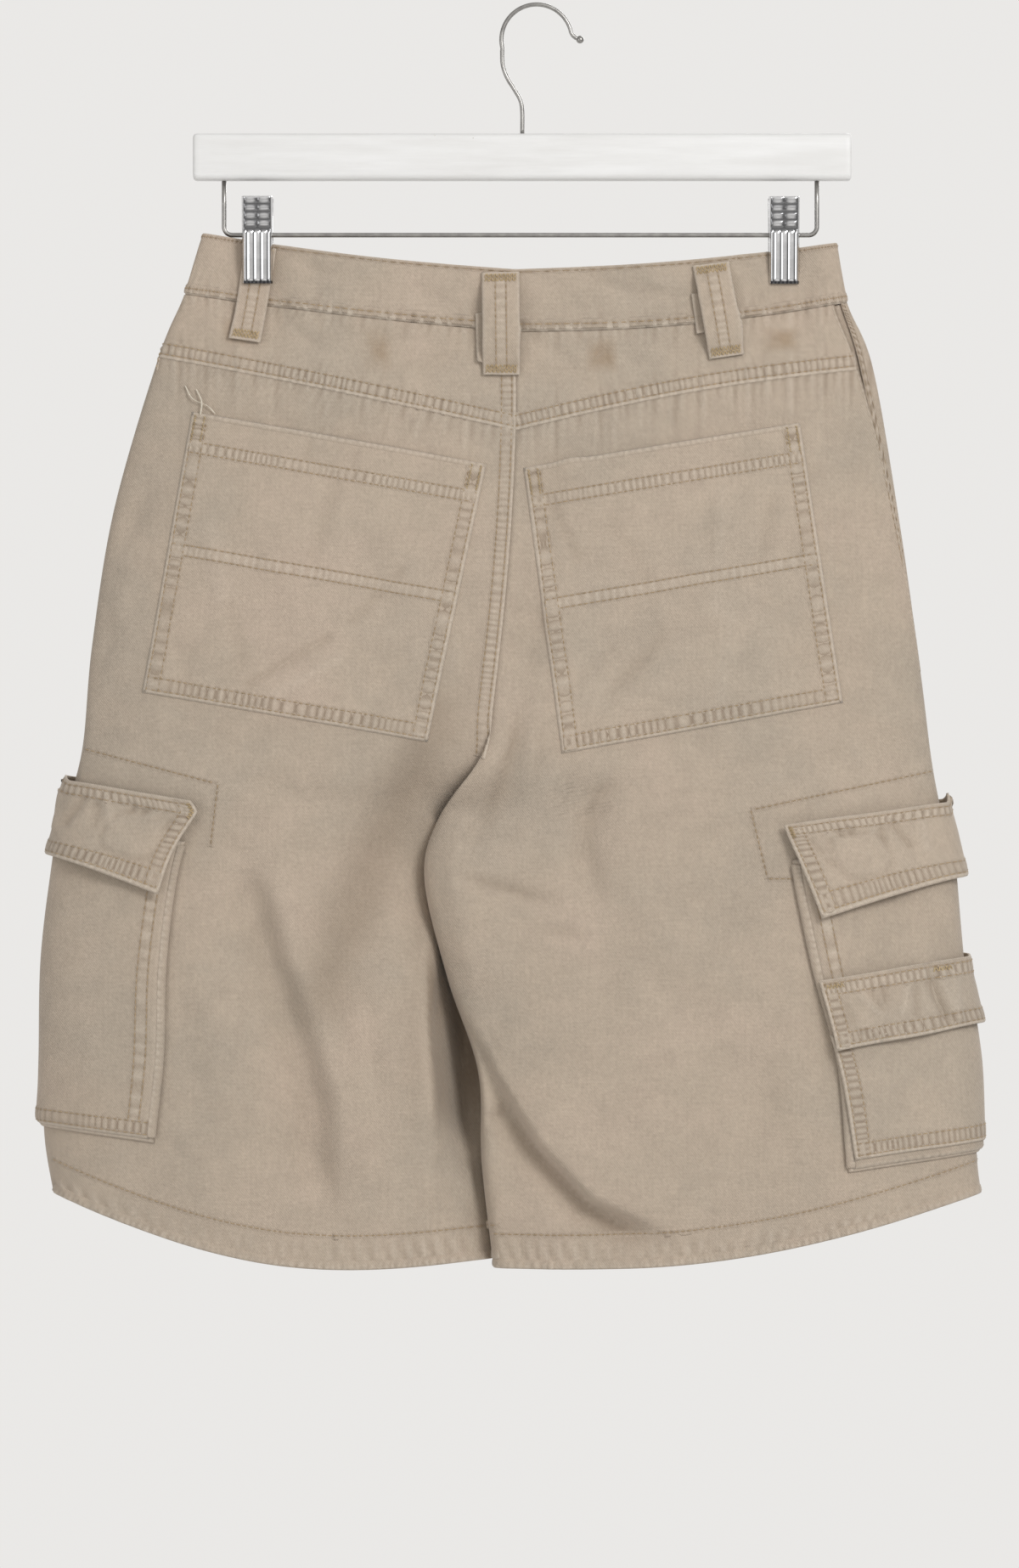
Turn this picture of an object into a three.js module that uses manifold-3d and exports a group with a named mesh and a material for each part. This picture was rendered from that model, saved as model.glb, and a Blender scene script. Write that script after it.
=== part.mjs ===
// Cargo shorts on a clip hanger, in millimetres. The seat (back) of the shorts faces -Y,
// their front faces +Y, +X is the wearer's right and +Z is up.
// The origin is the inside top of the hook, where the hanger hangs.
import * as THREE from "three";
import { mergeVertices } from "three/addons/utils/BufferGeometryUtils.js";
import Module from "manifold-3d";

const wasm = await Module();
wasm.setup();

// Hanger: painted wooden bar, steel hook, steel rod and two spring clips
const STEM_X = -7.8; // the stem stands to one side of the hook's top
const BAR = { length: 356.5, height: 25.3, thickness: 14, top: -69, corner: 4, bevel: 1.5 };
const HOOK = { wire: 1.15, bend: 19.1, startAngle: 196, endAngle: 12, ballRadius: 2.1 };
const ROD = { wire: 1.25, leftX: -161.5, rightX: 159.6, z: -123.8, corner: 4.5 };
const CLIP = { width: 16.6, plate: 1, top: -103.5, bottom: -150.4, earTop: -118.5, earBottom: -126.2 };
const CLIP_PLACES = [
  // frontFace and backFace are how far each jaw's face lies from the rod's plane
  { name: "left", x: -143.3, frontFace: 7.4, backFace: 4.3 },
  { name: "right", x: 141.7, frontFace: 4.3, backFace: 4.3 },
];

// Cloth thicknesses and the gaps kept where pieces are sewn
const CLOTH = 1.4;
const BAND_CLOTH = 1.7;
const BAND_PROUD = 0.5;
const HEM_EXTRA = 0.9;
const SEAM_GAP = 0.3;
const ROW_GAP = 0.005; // half a seam's gap as a part of one section step
const AROUND_GAP = 0.0005; // half the side seam's gap as a part of the way round a half
const INSEAM_GAP = 0.0003; // the same at the centre and inseam
const LAYER_LIFT = 0.45; // gap between a panel and the piece sewn on it

// Where the clips pinch the waist, and how thin it is there
const PINCH = { halfDepth: 2.6, halfWidth: 17, fullUntilRow: 0.95, goneAtRow: 1.9 };

// Sections of each half, from the waist down. centre is the seam between the halves, then
// the inseam. open is 1 where the halves share one hollow and 0 where a leg is a tube of its
// own. edge rounds the side, low values being blunter. seam is the side seam, as a part of
// the way round from centre back to centre front. frontDrop lowers the front's middle.
const ROW = {
  top: 0, band: 1, yoke: 2, hip: 3, seat: 4, crotch: 5, fork: 6, thigh: 7, knee: 8, leg: 9, low: 10,
  hem: 11,
};
const LEFT_SECTIONS = [
  {
    name: "top", centreX: -3.7, centreZ: -142.6, sideX: -172.5, sideZ: -122.8, halfDepth: 8,
    middleY: 0, open: 1, edge: 0.42, sag: 2.4, seam: 0.52, frontDrop: 12,
  },
  {
    name: "band", centreX: -3.7, centreZ: -176.6, sideX: -183, sideZ: -156, halfDepth: 10, middleY: 0,
    open: 1, edge: 0.45, sag: 1.6, seam: 0.53, frontDrop: 12,
  },
  {
    name: "yoke", centreX: -3.7, centreZ: -230, sideX: -197, sideZ: -190, halfDepth: 16, middleY: 0,
    open: 1, edge: 0.6, sag: -1, seam: 0.54, frontDrop: 10,
  },
  {
    name: "hip", centreX: -7, centreZ: -295, sideX: -221, sideZ: -272, halfDepth: 24, middleY: 0,
    open: 1, edge: 0.72, sag: 0, seam: 0.55, frontDrop: 5,
  },
  {
    name: "seat", centreX: -14, centreZ: -364, sideX: -233, sideZ: -346, halfDepth: 28, middleY: 0,
    open: 1, edge: 0.75, sag: 0, seam: 0.55, frontDrop: 2,
  },
  {
    name: "crotch", centreX: -21, centreZ: -404, sideX: -238, sideZ: -400, halfDepth: 30, middleY: 0,
    open: 1, edge: 0.75, sag: 0, seam: 0.55, frontDrop: 0,
  },
  {
    name: "fork", centreX: -44, centreZ: -440, sideX: -246, sideZ: -434, halfDepth: 31, middleY: 2,
    open: 0, edge: 0.72, sag: 0, seam: 0.545, frontDrop: 0,
  },
  {
    name: "thigh", centreX: -54.5, centreZ: -474, sideX: -250, sideZ: -464, halfDepth: 33, middleY: 3,
    open: 0, edge: 0.7, sag: 0, seam: 0.54, frontDrop: 0,
  },
  {
    name: "knee", centreX: -44, centreZ: -525, sideX: -257, sideZ: -516, halfDepth: 36, middleY: 3,
    open: 0, edge: 0.7, sag: 0, seam: 0.54, frontDrop: 0,
  },
  {
    name: "leg", centreX: -26.5, centreZ: -576, sideX: -259, sideZ: -567, halfDepth: 38, middleY: 3,
    open: 0, edge: 0.7, sag: 1, seam: 0.54, frontDrop: 0,
  },
  {
    name: "low", centreX: -24, centreZ: -626, sideX: -259, sideZ: -610, halfDepth: 38, middleY: 3,
    open: 0, edge: 0.7, sag: 8, seam: 0.54, frontDrop: 0,
  },
  {
    name: "hem", centreX: -17.5, centreZ: -677, sideX: -254, sideZ: -642, halfDepth: 37, middleY: 3,
    open: 0, edge: 0.7, sag: 20, seam: 0.54, frontDrop: 0,
  },
];
const RIGHT_SECTIONS = [
  {
    name: "top", centreX: -3.7, centreZ: -142.6, sideX: 170, sideZ: -128, halfDepth: 8, middleY: 0,
    open: 1, edge: 0.42, sag: 2.8, seam: 0.405, frontDrop: 12,
  },
  {
    name: "band", centreX: -3.7, centreZ: -176.6, sideX: 176, sideZ: -160.5, halfDepth: 10, middleY: 0,
    open: 1, edge: 0.45, sag: 4.4, seam: 0.407, frontDrop: 12,
  },
  {
    name: "yoke", centreX: -3.7, centreZ: -230, sideX: 190, sideZ: -196, halfDepth: 16, middleY: 0,
    open: 1, edge: 0.6, sag: -4, seam: 0.405, frontDrop: 10,
  },
  {
    name: "hip", centreX: -7, centreZ: -295, sideX: 204.7, sideZ: -281.5, halfDepth: 24, middleY: 0,
    open: 1, edge: 0.72, sag: 0, seam: 0.46, frontDrop: 5,
  },
  {
    name: "seat", centreX: -14, centreZ: -364, sideX: 215.7, sideZ: -360, halfDepth: 28, middleY: 0,
    open: 1, edge: 0.75, sag: 0, seam: 0.5, frontDrop: 2,
  },
  {
    name: "crotch", centreX: -21, centreZ: -404, sideX: 221.7, sideZ: -408, halfDepth: 30, middleY: 0,
    open: 1, edge: 0.75, sag: 0, seam: 0.51, frontDrop: 0,
  },
  {
    name: "fork", centreX: -44, centreZ: -440, sideX: 227.5, sideZ: -441, halfDepth: 31, middleY: -2,
    open: 0, edge: 0.72, sag: 0, seam: 0.515, frontDrop: 0,
  },
  {
    name: "thigh", centreX: -51.5, centreZ: -472, sideX: 231, sideZ: -470, halfDepth: 33, middleY: -3,
    open: 0, edge: 0.7, sag: 0, seam: 0.52, frontDrop: 0,
  },
  {
    name: "knee", centreX: -39, centreZ: -526, sideX: 237, sideZ: -525, halfDepth: 36, middleY: -3,
    open: 0, edge: 0.7, sag: 0, seam: 0.52, frontDrop: 0,
  },
  {
    name: "leg", centreX: -22.5, centreZ: -576, sideX: 244, sideZ: -571, halfDepth: 38, middleY: -3,
    open: 0, edge: 0.7, sag: 1, seam: 0.52, frontDrop: 0,
  },
  {
    name: "low", centreX: -20.5, centreZ: -626, sideX: 246, sideZ: -622, halfDepth: 38, middleY: -3,
    open: 0, edge: 0.7, sag: 7, seam: 0.52, frontDrop: 0,
  },
  {
    name: "hem", centreX: -14, centreZ: -682, sideX: 248.4, sideZ: -641.7, halfDepth: 37, middleY: -3,
    open: 0, edge: 0.7, sag: 14, seam: 0.52, frontDrop: 0,
  },
];
const HALVES = {
  left: { name: "left", side: -1, sections: LEFT_SECTIONS },
  right: { name: "right", side: 1, sections: RIGHT_SECTIONS },
};

// The largest folds. path runs down the fold as [x, z] points, depth is how far the cloth
// stands out there (negative in a hollow), and the two widths are its soft flanks.
const FOLDS = [
  {
    name: "seat_hollow", half: "both", face: "back", path: [[1, -312], [5, -338], [-4, -372]],
    depth: -5, leftWidth: 11, rightWidth: 9,
  },
  {
    name: "left_pocket_crease", half: "left", face: "back",
    path: [[-96, -381], [-76, -368], [-56, -350]], depth: -4, leftWidth: 9, rightWidth: 12,
  },
  {
    name: "left_thigh_hollow", half: "left", face: "back",
    path: [[-47, -400], [-70, -431], [-83, -470], [-110, -514]], depth: -10, leftWidth: 17,
    rightWidth: 15,
  },
  {
    name: "left_leg_valley", half: "left", face: "back",
    path: [[-149, -472], [-140, -512], [-124, -553], [-113, -592], [-115, -615], [-106, -650]],
    depth: -10, leftWidth: 14, rightWidth: 9,
  },
  {
    name: "left_leg_ridge", half: "left", face: "back",
    path: [[-132, -470], [-122, -515], [-106, -556], [-96, -595], [-95, -640]], depth: 5, leftWidth: 8,
    rightWidth: 14,
  },
  {
    name: "left_inner_ridge", half: "left", face: "back",
    path: [[-66, -486], [-64, -535], [-66, -590], [-68, -630]], depth: 7, leftWidth: 18,
    rightWidth: 10,
  },
  {
    name: "left_inner_hollow", half: "left", face: "back",
    path: [[-37, -500], [-36, -560], [-34, -606], [-33, -634]], depth: -22, leftWidth: 10,
    rightWidth: 16,
  },
  {
    name: "right_pocket_valley", half: "right", face: "back",
    path: [[72, -326], [56, -353], [29, -375]], depth: -4, leftWidth: 10, rightWidth: 12,
  },
  {
    name: "right_thigh_curve", half: "right", face: "back",
    path: [[57, -415], [38, -428], [31, -450], [35, -470], [42, -493]], depth: -5, leftWidth: 8,
    rightWidth: 12,
  },
  {
    name: "right_thigh_roll", half: "right", face: "back",
    path: [[-30, -436], [-37, -466], [-30, -505], [-18, -545]], depth: 6, leftWidth: 9, rightWidth: 20,
  },
  {
    name: "right_crossing_valley", half: "right", face: "back",
    path: [[-22, -556], [-10, -585], [8, -618], [37, -644], [74, -659]], depth: -10, leftWidth: 8,
    rightWidth: 10,
  },
  {
    name: "right_leg_ridge", half: "right", face: "back", path: [[12, -560], [30, -600], [66, -636]],
    depth: 5, leftWidth: 12, rightWidth: 22,
  },
  {
    name: "left_front_valley", half: "left", face: "front",
    path: [[-60, -420], [-92, -470], [-104, -540], [-98, -620]], depth: -9, leftWidth: 14,
    rightWidth: 18,
  },
  {
    name: "left_front_ridge", half: "left", face: "front",
    path: [[-40, -470], [-62, -520], [-60, -610]], depth: 6, leftWidth: 16, rightWidth: 10,
  },
  {
    name: "front_lap_hollow", half: "both", face: "front",
    path: [[-4, -330], [-10, -368], [-22, -400]], depth: -6, leftWidth: 16, rightWidth: 14,
  },
  {
    name: "right_front_valley", half: "right", face: "front",
    path: [[30, -410], [62, -460], [80, -530], [70, -618]], depth: -9, leftWidth: 16, rightWidth: 13,
  },
  {
    name: "right_front_ridge", half: "right", face: "front",
    path: [[112, -470], [118, -540], [104, -620]], depth: 5, leftWidth: 14, rightWidth: 16,
  },
];
const FOLD_FADE = 26; // length over which a fold dies out at its ends

// Outlines of the sewn-on pieces on the back, as [x, z] corners seen square on
const BACK_POCKETS = {
  left: [[-178.5, -219.9], [-19.3, -248.4], [-51.1, -398.4], [-205.2, -371.7]],
  right: [
    [0.5, -252.5], [17.5, -250.2], [27.1, -244.3], [150, -225.9], [151.8, -248.4], [173, -377.2],
    [21.2, -404.8], [4.1, -310.5], [2.8, -286],
  ],
};
// Cargo pockets lie round the side: sideTop and sideBottom are their heights on the outline,
// reach is how far past the outline the shapes run, and the front corners mirror the back.
const CARGO_POCKETS = {
  left: {
    pocket: {
      backTop: [-183.5, -452], backBottom: [-200.5, -612], sideTop: -440, sideBottom: -604,
      frontTop: [-118, -450], frontBottom: [-128, -616],
    },
    flap: {
      backTop: [-178, -430], backBottom: [-195, -481], sideTop: -417, sideBottom: -455,
      frontTop: [-112, -431], frontBottom: [-118, -484],
    },
  },
  right: {
    pocket: {
      backTop: [148, -462], backBottom: [177.6, -628], sideTop: -446, sideBottom: -616,
      frontTop: [92, -456], frontBottom: [104, -626],
    },
    flap: {
      backTop: [140, -443.4], backBottom: [160, -493.6], sideTop: -427, sideBottom: -462,
      frontTop: [86, -440], frontBottom: [92, -488],
    },
    phonePocket: {
      backTop: [165, -556], backBottom: [180, -622], sideTop: -545, sideBottom: -611,
      frontTop: [172, -551], frontBottom: [176, -617],
    },
    phoneFlap: {
      backTop: [158.2, -527.2], backBottom: [168, -564.9], sideTop: -510, sideBottom: -547,
      frontTop: [168, -520], frontBottom: [172, -556],
    },
  },
};
const CARGO_REACH = 40;
const GUSSET = { width: 7, depth: 2.2 };
const FLAP_FLARE = 3.4;
const PHONE_LIFT = 0.4;

// Belt loops: corners of each strip as [x, z], top then bottom, and how far its middle bows
const LOOP = { lift: 1, liftAtClip: 1.75, cloth: 1.6, bow: 6, steps: 8, across: 2 };
const LOOPS = [
  {
    name: "belt_loop_centre", face: "back", topLeft: [-22, -144.6], topRight: [-1.6, -144.2],
    bottomLeft: [-21.4, -200.2], bottomRight: [-1.2, -200.4], bow: LOOP.bow,
  },
  {
    name: "belt_loop_back_left", face: "back", topLeft: [-150, -129.4], topRight: [-132.6, -131.4],
    bottomLeft: [-159, -180.6], bottomRight: [-141.6, -183.4], bow: 0,
  },
  {
    name: "belt_loop_back_right", face: "back", topLeft: [92, -141], topRight: [111.6, -138.4],
    bottomLeft: [101, -192], bottomRight: [119.8, -189.2], bow: LOOP.bow,
  },
  {
    name: "belt_loop_front_left", face: "front", topLeft: [-101, -146], topRight: [-82, -148.6],
    bottomLeft: [-105, -201], bottomRight: [-86, -203.4], bow: LOOP.bow,
  },
  {
    name: "belt_loop_front_right", face: "front", topLeft: [76, -149], topRight: [95, -147],
    bottomLeft: [80, -203], bottomRight: [99, -201], bow: LOOP.bow,
  },
];

// Front details: fly, slanted hip pockets and the waist button
const FLY = { width: 38, length: 142 };
const HIP_POCKET = { width: 0.05, lastRow: 3.3, tuck: 0.02 };
const BUTTON = { radius: 8.5, thickness: 3, dish: 5.5, lift: 0.9 };

// How finely the pieces are divided
const BACK_COLUMNS = 18;
const FRONT_COLUMNS = 11;
const BAND_COLUMNS = 25;
const YOKE_ROWS = 3;
const ROWS_BELOW_YOKE = [
  2, 2.5, 3, 3.5, 4, 4.4, 4.75, 5, 5.33, 5.67, 6, 6.5, 7,
  7.4, 7.8, 8.2, 8.6, 9, 9.4, 9.8, 10.2, 10.45, 10.68, 10.72, 11,
];
const HEM_ROW = 10.7;

const lerp = THREE.MathUtils.lerp;
const clamp = THREE.MathUtils.clamp;
const smoothstep = THREE.MathUtils.smoothstep;

// A column's value at any row, on a smooth curve through the table
function column(sections, name, row) {
  const last = sections.length - 1;
  const index = clamp(Math.floor(row), 0, last - 1);
  const t = row - index;
  const before = sections[Math.max(index - 1, 0)][name];
  const start = sections[index][name];
  const end = sections[index + 1][name];
  const after = sections[Math.min(index + 2, last)][name];
  const startSlope = (end - before) / 2;
  const endSlope = (after - start) / 2;
  const t2 = t * t;
  const t3 = t2 * t;
  return (
    (2 * t3 - 3 * t2 + 1) * start +
    (t3 - 2 * t2 + t) * startSlope +
    (3 * t2 - 2 * t3) * end +
    (t3 - t2) * endSlope
  );
}

// Signed distance from a fold's path (negative to its left) and how strong the fold is there
function alongFold(fold, x, z) {
  let nearest = { distance: Infinity, side: 1, travelled: 0 };
  let travelled = 0;
  for (let i = 0; i + 1 < fold.path.length; i++) {
    const [ax, az] = fold.path[i];
    const [bx, bz] = fold.path[i + 1];
    const length = Math.hypot(bx - ax, bz - az);
    const part = clamp(((x - ax) * (bx - ax) + (z - az) * (bz - az)) / length ** 2, 0, 1);
    const dx = x - lerp(ax, bx, part);
    const dz = z - lerp(az, bz, part);
    const distance = Math.hypot(dx, dz);
    if (distance < nearest.distance) {
      const side = Math.sign((bx - ax) * dz - (bz - az) * dx) || 1;
      nearest = { distance, side, travelled: travelled + part * length };
    }
    travelled += length;
  }
  const fade = Math.min(FOLD_FADE, travelled / 2);
  const fromEnds = Math.min(nearest.travelled, travelled - nearest.travelled);
  return { ...nearest, strength: 0.25 + 0.75 * smoothstep(fromEnds, 0, fade) };
}

function foldHeight(half, face, across, sine, row, x, z) {
  const nearSide = smoothstep(Math.abs(sine), 0, 0.45);
  let height = 0;
  for (const fold of FOLDS) {
    if (fold.face !== face || (fold.half !== half.name && fold.half !== "both")) continue;
    const near = alongFold(fold, x, z);
    const width = near.side > 0 ? fold.rightWidth : fold.leftWidth;
    const keepsSeam = fold.half === "both" || row > ROW.fork ? 1 : smoothstep(across, 0, 0.08);
    height += fold.depth * Math.exp(-((near.distance / width) ** 2)) * near.strength * keepsSeam;
  }
  return height * nearSide;
}

// A point of the cloth's outer face: around runs from centre back (0) past the side (about
// 0.5) to centre front (1), and row runs down the table of sections.
function clothPoint(half, around, row) {
  const value = (name) => column(half.sections, name, row);
  const start = (clamp(value("open"), 0, 1) * Math.PI) / 2;
  const angle = start + (2 * Math.PI - 2 * start) * around;
  const across = (Math.cos(start) - Math.cos(angle)) / (Math.cos(start) + 1);
  const sine = Math.sin(angle);
  const face = sine >= 0 ? "back" : "front";
  const outward = face === "back" ? -1 : 1;
  const centreX = value("centreX") + (half.side * SEAM_GAP) / 2;
  const x = lerp(centreX, value("sideX"), across);
  const drop = face === "front" ? value("frontDrop") * Math.cos((Math.PI / 2) * across) ** 2 : 0;
  const z = lerp(value("centreZ"), value("sideZ"), across) - value("sag") * Math.sin(Math.PI * across) - drop;
  let depth = value("halfDepth") * Math.abs(sine) ** value("edge");
  const clip = CLIP_PLACES.find((place) => place.name === half.name);
  const nearClip = Math.exp(-(((x - clip.x) / PINCH.halfWidth) ** 4));
  const pinch = nearClip * (1 - smoothstep(row, PINCH.fullUntilRow, PINCH.goneAtRow));
  depth = lerp(depth, Math.min(depth, PINCH.halfDepth), pinch);
  depth += foldHeight(half, face, across, sine, row, x, z);
  return new THREE.Vector3(x, value("middleY") + outward * depth, z);
}

// The same point moved out along the cloth's own normal
function liftedPoint(half, around, row, lift) {
  const step = 0.004;
  const lastRow = half.sections.length - 1;
  const back = clothPoint(half, Math.max(around - step, 0), row);
  const ahead = clothPoint(half, Math.min(around + step, 1), row);
  const above = clothPoint(half, around, Math.max(row - 0.05, 0));
  const below = clothPoint(half, around, Math.min(row + 0.05, lastRow));
  const normal = ahead.sub(back).cross(below.sub(above)).normalize();
  return clothPoint(half, around, row).addScaledVector(normal, -half.side * lift);
}

// Where the point seen at x, z on one face of the shorts lies, as a half, around and row
function locate(face, x, z) {
  for (const half of [HALVES.left, HALVES.right]) {
    const heightAt = (row) => {
      const value = (name) => column(half.sections, name, row);
      const across = (x - value("centreX")) / (value("sideX") - value("centreX"));
      const drop = face === "front" ? value("frontDrop") * Math.cos((Math.PI / 2) * across) ** 2 : 0;
      const line = lerp(value("centreZ"), value("sideZ"), across);
      return { across, z: line - value("sag") * Math.sin(Math.PI * across) - drop };
    };
    let high = 0;
    let low = half.sections.length - 1;
    for (let i = 0; i < 30; i++) {
      const middle = (high + low) / 2;
      if (heightAt(middle).z > z) high = middle;
      else low = middle;
    }
    const row = (high + low) / 2;
    const { across } = heightAt(row);
    if (across < -0.001) continue;
    const start = (clamp(column(half.sections, "open", row), 0, 1) * Math.PI) / 2;
    const cosine = Math.cos(start) - clamp(across, 0, 1) * (Math.cos(start) + 1);
    const back = (Math.acos(clamp(cosine, -1, 1)) - start) / (2 * Math.PI - 2 * start);
    return { half, row, around: face === "back" ? back : 1 - back };
  }
  throw new Error("no cloth at " + x + ", " + z);
}

const sideSeam = (half, row) => column(half.sections, "seam", row);
const hipPocketWidth = (row) => HIP_POCKET.width * (1 - smoothstep(row, ROW.band, HIP_POCKET.lastRow));
const backAround = (half, part, row) => lerp(INSEAM_GAP, sideSeam(half, row) - AROUND_GAP, part);
const frontAround = (half, part, row) =>
  lerp(sideSeam(half, row) + hipPocketWidth(row) + AROUND_GAP, 1 - INSEAM_GAP, part);

// A closed wall between two grids of points, outer(i, j) and inner(i, j)
function wall(columns, rows, outer, inner, closed = false) {
  const positions = [];
  const index = (side, i, j) => side * (columns + 1) * (rows + 1) + (closed ? i % columns : i) * (rows + 1) + j;
  for (const point of [outer, inner]) {
    for (let i = 0; i <= columns; i++) for (let j = 0; j <= rows; j++) positions.push(...point(i, j).toArray());
  }
  const faces = [];
  const quad = (a, b, c, d) => faces.push(a, b, c, a, c, d);
  for (let i = 0; i < columns; i++) {
    for (let j = 0; j < rows; j++) {
      quad(index(0, i, j), index(0, i + 1, j), index(0, i + 1, j + 1), index(0, i, j + 1));
      quad(index(1, i, j), index(1, i, j + 1), index(1, i + 1, j + 1), index(1, i + 1, j));
    }
    quad(index(0, i, 0), index(1, i, 0), index(1, i + 1, 0), index(0, i + 1, 0));
    quad(index(0, i, rows), index(0, i + 1, rows), index(1, i + 1, rows), index(1, i, rows));
  }
  for (let j = 0; j < rows && !closed; j++) {
    quad(index(0, 0, j), index(0, 0, j + 1), index(1, 0, j + 1), index(1, 0, j));
    quad(index(0, columns, j), index(1, columns, j), index(1, columns, j + 1), index(0, columns, j + 1));
  }
  const geometry = new THREE.BufferGeometry();
  geometry.setAttribute("position", new THREE.Float32BufferAttribute(positions, 3));
  geometry.setIndex(faces);
  return solidFrom(geometry);
}

// A solid for cutting and joining, with its faces turned outward
function solidFrom(geometry) {
  const bare = geometry.clone();
  bare.deleteAttribute("normal");
  bare.deleteAttribute("uv");
  const merged = mergeVertices(bare, 1e-4);
  const triVerts = Uint32Array.from(merged.index.array);
  const vertProperties = merged.attributes.position.array;
  let volume = 0;
  const corner = (k) => new THREE.Vector3().fromArray(vertProperties, 3 * triVerts[k]);
  for (let k = 0; k < triVerts.length; k += 3) volume += corner(k).dot(corner(k + 1).cross(corner(k + 2)));
  if (volume < 0) {
    for (let k = 0; k < triVerts.length; k += 3) {
      [triVerts[k], triVerts[k + 1]] = [triVerts[k + 1], triVerts[k]];
    }
  }
  return new wasm.Manifold(new wasm.Mesh({ numProp: 3, vertProperties, triVerts }));
}

function geometryFrom(solid) {
  const mesh = solid.getMesh();
  const geometry = new THREE.BufferGeometry();
  geometry.setAttribute("position", new THREE.BufferAttribute(Float32Array.from(mesh.vertProperties), 3));
  geometry.setIndex(Array.from(mesh.triVerts));
  geometry.computeVertexNormals();
  return geometry;
}

// A block with the outline of [x, z] points, from one depth to another
function prism(points, fromY, toY) {
  const shape = new THREE.Shape(points.map(([x, z]) => new THREE.Vector2(x, z)));
  const geometry = new THREE.ExtrudeGeometry(shape, { depth: toY - fromY, bevelEnabled: false });
  geometry.rotateX(Math.PI / 2).translate(0, toY, 0);
  return solidFrom(geometry);
}

// A round wire along [x, z] points in one upright plane
function wire(points, radius, sides = 8) {
  const at = points.map(([x, z]) => new THREE.Vector2(x, z));
  const ring = (i) => {
    const ahead = at[Math.min(i + 1, at.length - 1)].clone().sub(at[Math.max(i - 1, 0)]).normalize();
    const normal = new THREE.Vector2(-ahead.y, ahead.x);
    return Array.from({ length: sides }, (_, k) => {
      const angle = (2 * Math.PI * k) / sides;
      const out = radius * Math.cos(angle);
      return [at[i].x + normal.x * out, radius * Math.sin(angle), at[i].y + normal.y * out];
    });
  };
  const positions = at.flatMap((_, i) => ring(i).flat());
  const faces = [];
  for (let i = 0; i + 1 < at.length; i++) {
    for (let k = 0; k < sides; k++) {
      const a = i * sides + k;
      const b = i * sides + ((k + 1) % sides);
      faces.push(a, b, b + sides, a, b + sides, a + sides);
    }
  }
  const last = (at.length - 1) * sides;
  for (let k = 1; k + 1 < sides; k++) faces.push(0, k + 1, k, last, last + k, last + k + 1);
  const geometry = new THREE.BufferGeometry();
  geometry.setAttribute("position", new THREE.Float32BufferAttribute(positions, 3));
  geometry.setIndex(faces);
  return solidFrom(geometry);
}

function arc(centreX, centreZ, radius, fromAngle, toAngle, steps) {
  return Array.from({ length: steps + 1 }, (_, i) => {
    const angle = THREE.MathUtils.degToRad(lerp(fromAngle, toAngle, i / steps));
    return [centreX + radius * Math.cos(angle), centreZ + radius * Math.sin(angle)];
  });
}

const paint = (color, roughness, metalness) => new THREE.MeshStandardMaterial({ color, roughness, metalness });
const MATERIALS = {
  twill: paint(0xb9a58d, 0.95, 0),
  twillLight: paint(0xc2af98, 0.95, 0),
  paintedWood: paint(0xd9d6cf, 0.55, 0),
  steel: paint(0x9a9a98, 0.35, 1),
  chrome: paint(0xc8cacc, 0.18, 1),
  button: paint(0x8a7258, 0.5, 0),
};

const shortsOnHanger = new THREE.Group();
const hung = new THREE.Group();
hung.position.x = STEM_X;
shortsOnHanger.add(hung);

function add(name, solid, material) {
  const mesh = new THREE.Mesh(geometryFrom(solid), material);
  mesh.name = name;
  hung.add(mesh);
}

function buildBar() {
  const halfThick = BAR.thickness / 2 - BAR.bevel;
  const halfHigh = BAR.height / 2 - BAR.bevel;
  const radius = BAR.corner - BAR.bevel;
  const shape = new THREE.Shape();
  const corners = [[1, -1, -90], [1, 1, 0], [-1, 1, 90], [-1, -1, 180]];
  for (const [sideways, up, angle] of corners) {
    const from = THREE.MathUtils.degToRad(angle);
    const x = sideways * (halfThick - radius);
    const y = up * (halfHigh - radius);
    shape.absarc(x, y, radius, from, from + Math.PI / 2, false);
  }
  const geometry = new THREE.ExtrudeGeometry(shape, {
    depth: BAR.length - 2 * BAR.bevel,
    curveSegments: 2,
    bevelSize: BAR.bevel,
    bevelThickness: BAR.bevel,
    bevelSegments: 2,
  });
  geometry.translate(0, 0, BAR.bevel - BAR.length / 2);
  geometry.rotateX(Math.PI / 2).rotateZ(Math.PI / 2);
  geometry.translate(0, 0, BAR.top - BAR.height / 2);
  add("hanger_bar", solidFrom(geometry), MATERIALS.paintedWood);
}

function buildHook() {
  const centreX = -STEM_X;
  const centreZ = HOOK.wire - HOOK.bend;
  const stem = [
    [0, BAR.top + SEAM_GAP], [0, -57], [-0.9, -51], [-4.2, -45], [-8.2, -38.5], [-10.6, -31.5],
  ];
  const bend = arc(centreX, centreZ, HOOK.bend, HOOK.startAngle, HOOK.endAngle, 18);
  const [tipX, tipZ] = bend[bend.length - 1];
  const kick = [[tipX + 0.9, tipZ - 1.6], [tipX + 4.4, tipZ - 3.6]];
  const ball = new THREE.SphereGeometry(HOOK.ballRadius, 10, 7).translate(tipX + 4.8, 0, tipZ - 3.9);
  add("hanger_hook", wire([...stem, ...bend, ...kick], HOOK.wire).add(solidFrom(ball)), MATERIALS.steel);
}

function buildRod() {
  const top = BAR.top - BAR.height - SEAM_GAP;
  const cornerZ = ROD.z + ROD.corner;
  const points = [
    [ROD.leftX, top],
    ...arc(ROD.leftX + ROD.corner, cornerZ, ROD.corner, 180, 270, 5),
    ...arc(ROD.rightX - ROD.corner, cornerZ, ROD.corner, 270, 360, 5),
    [ROD.rightX, top],
  ];
  add("hanger_rod", wire(points, ROD.wire), MATERIALS.steel);
}

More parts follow.
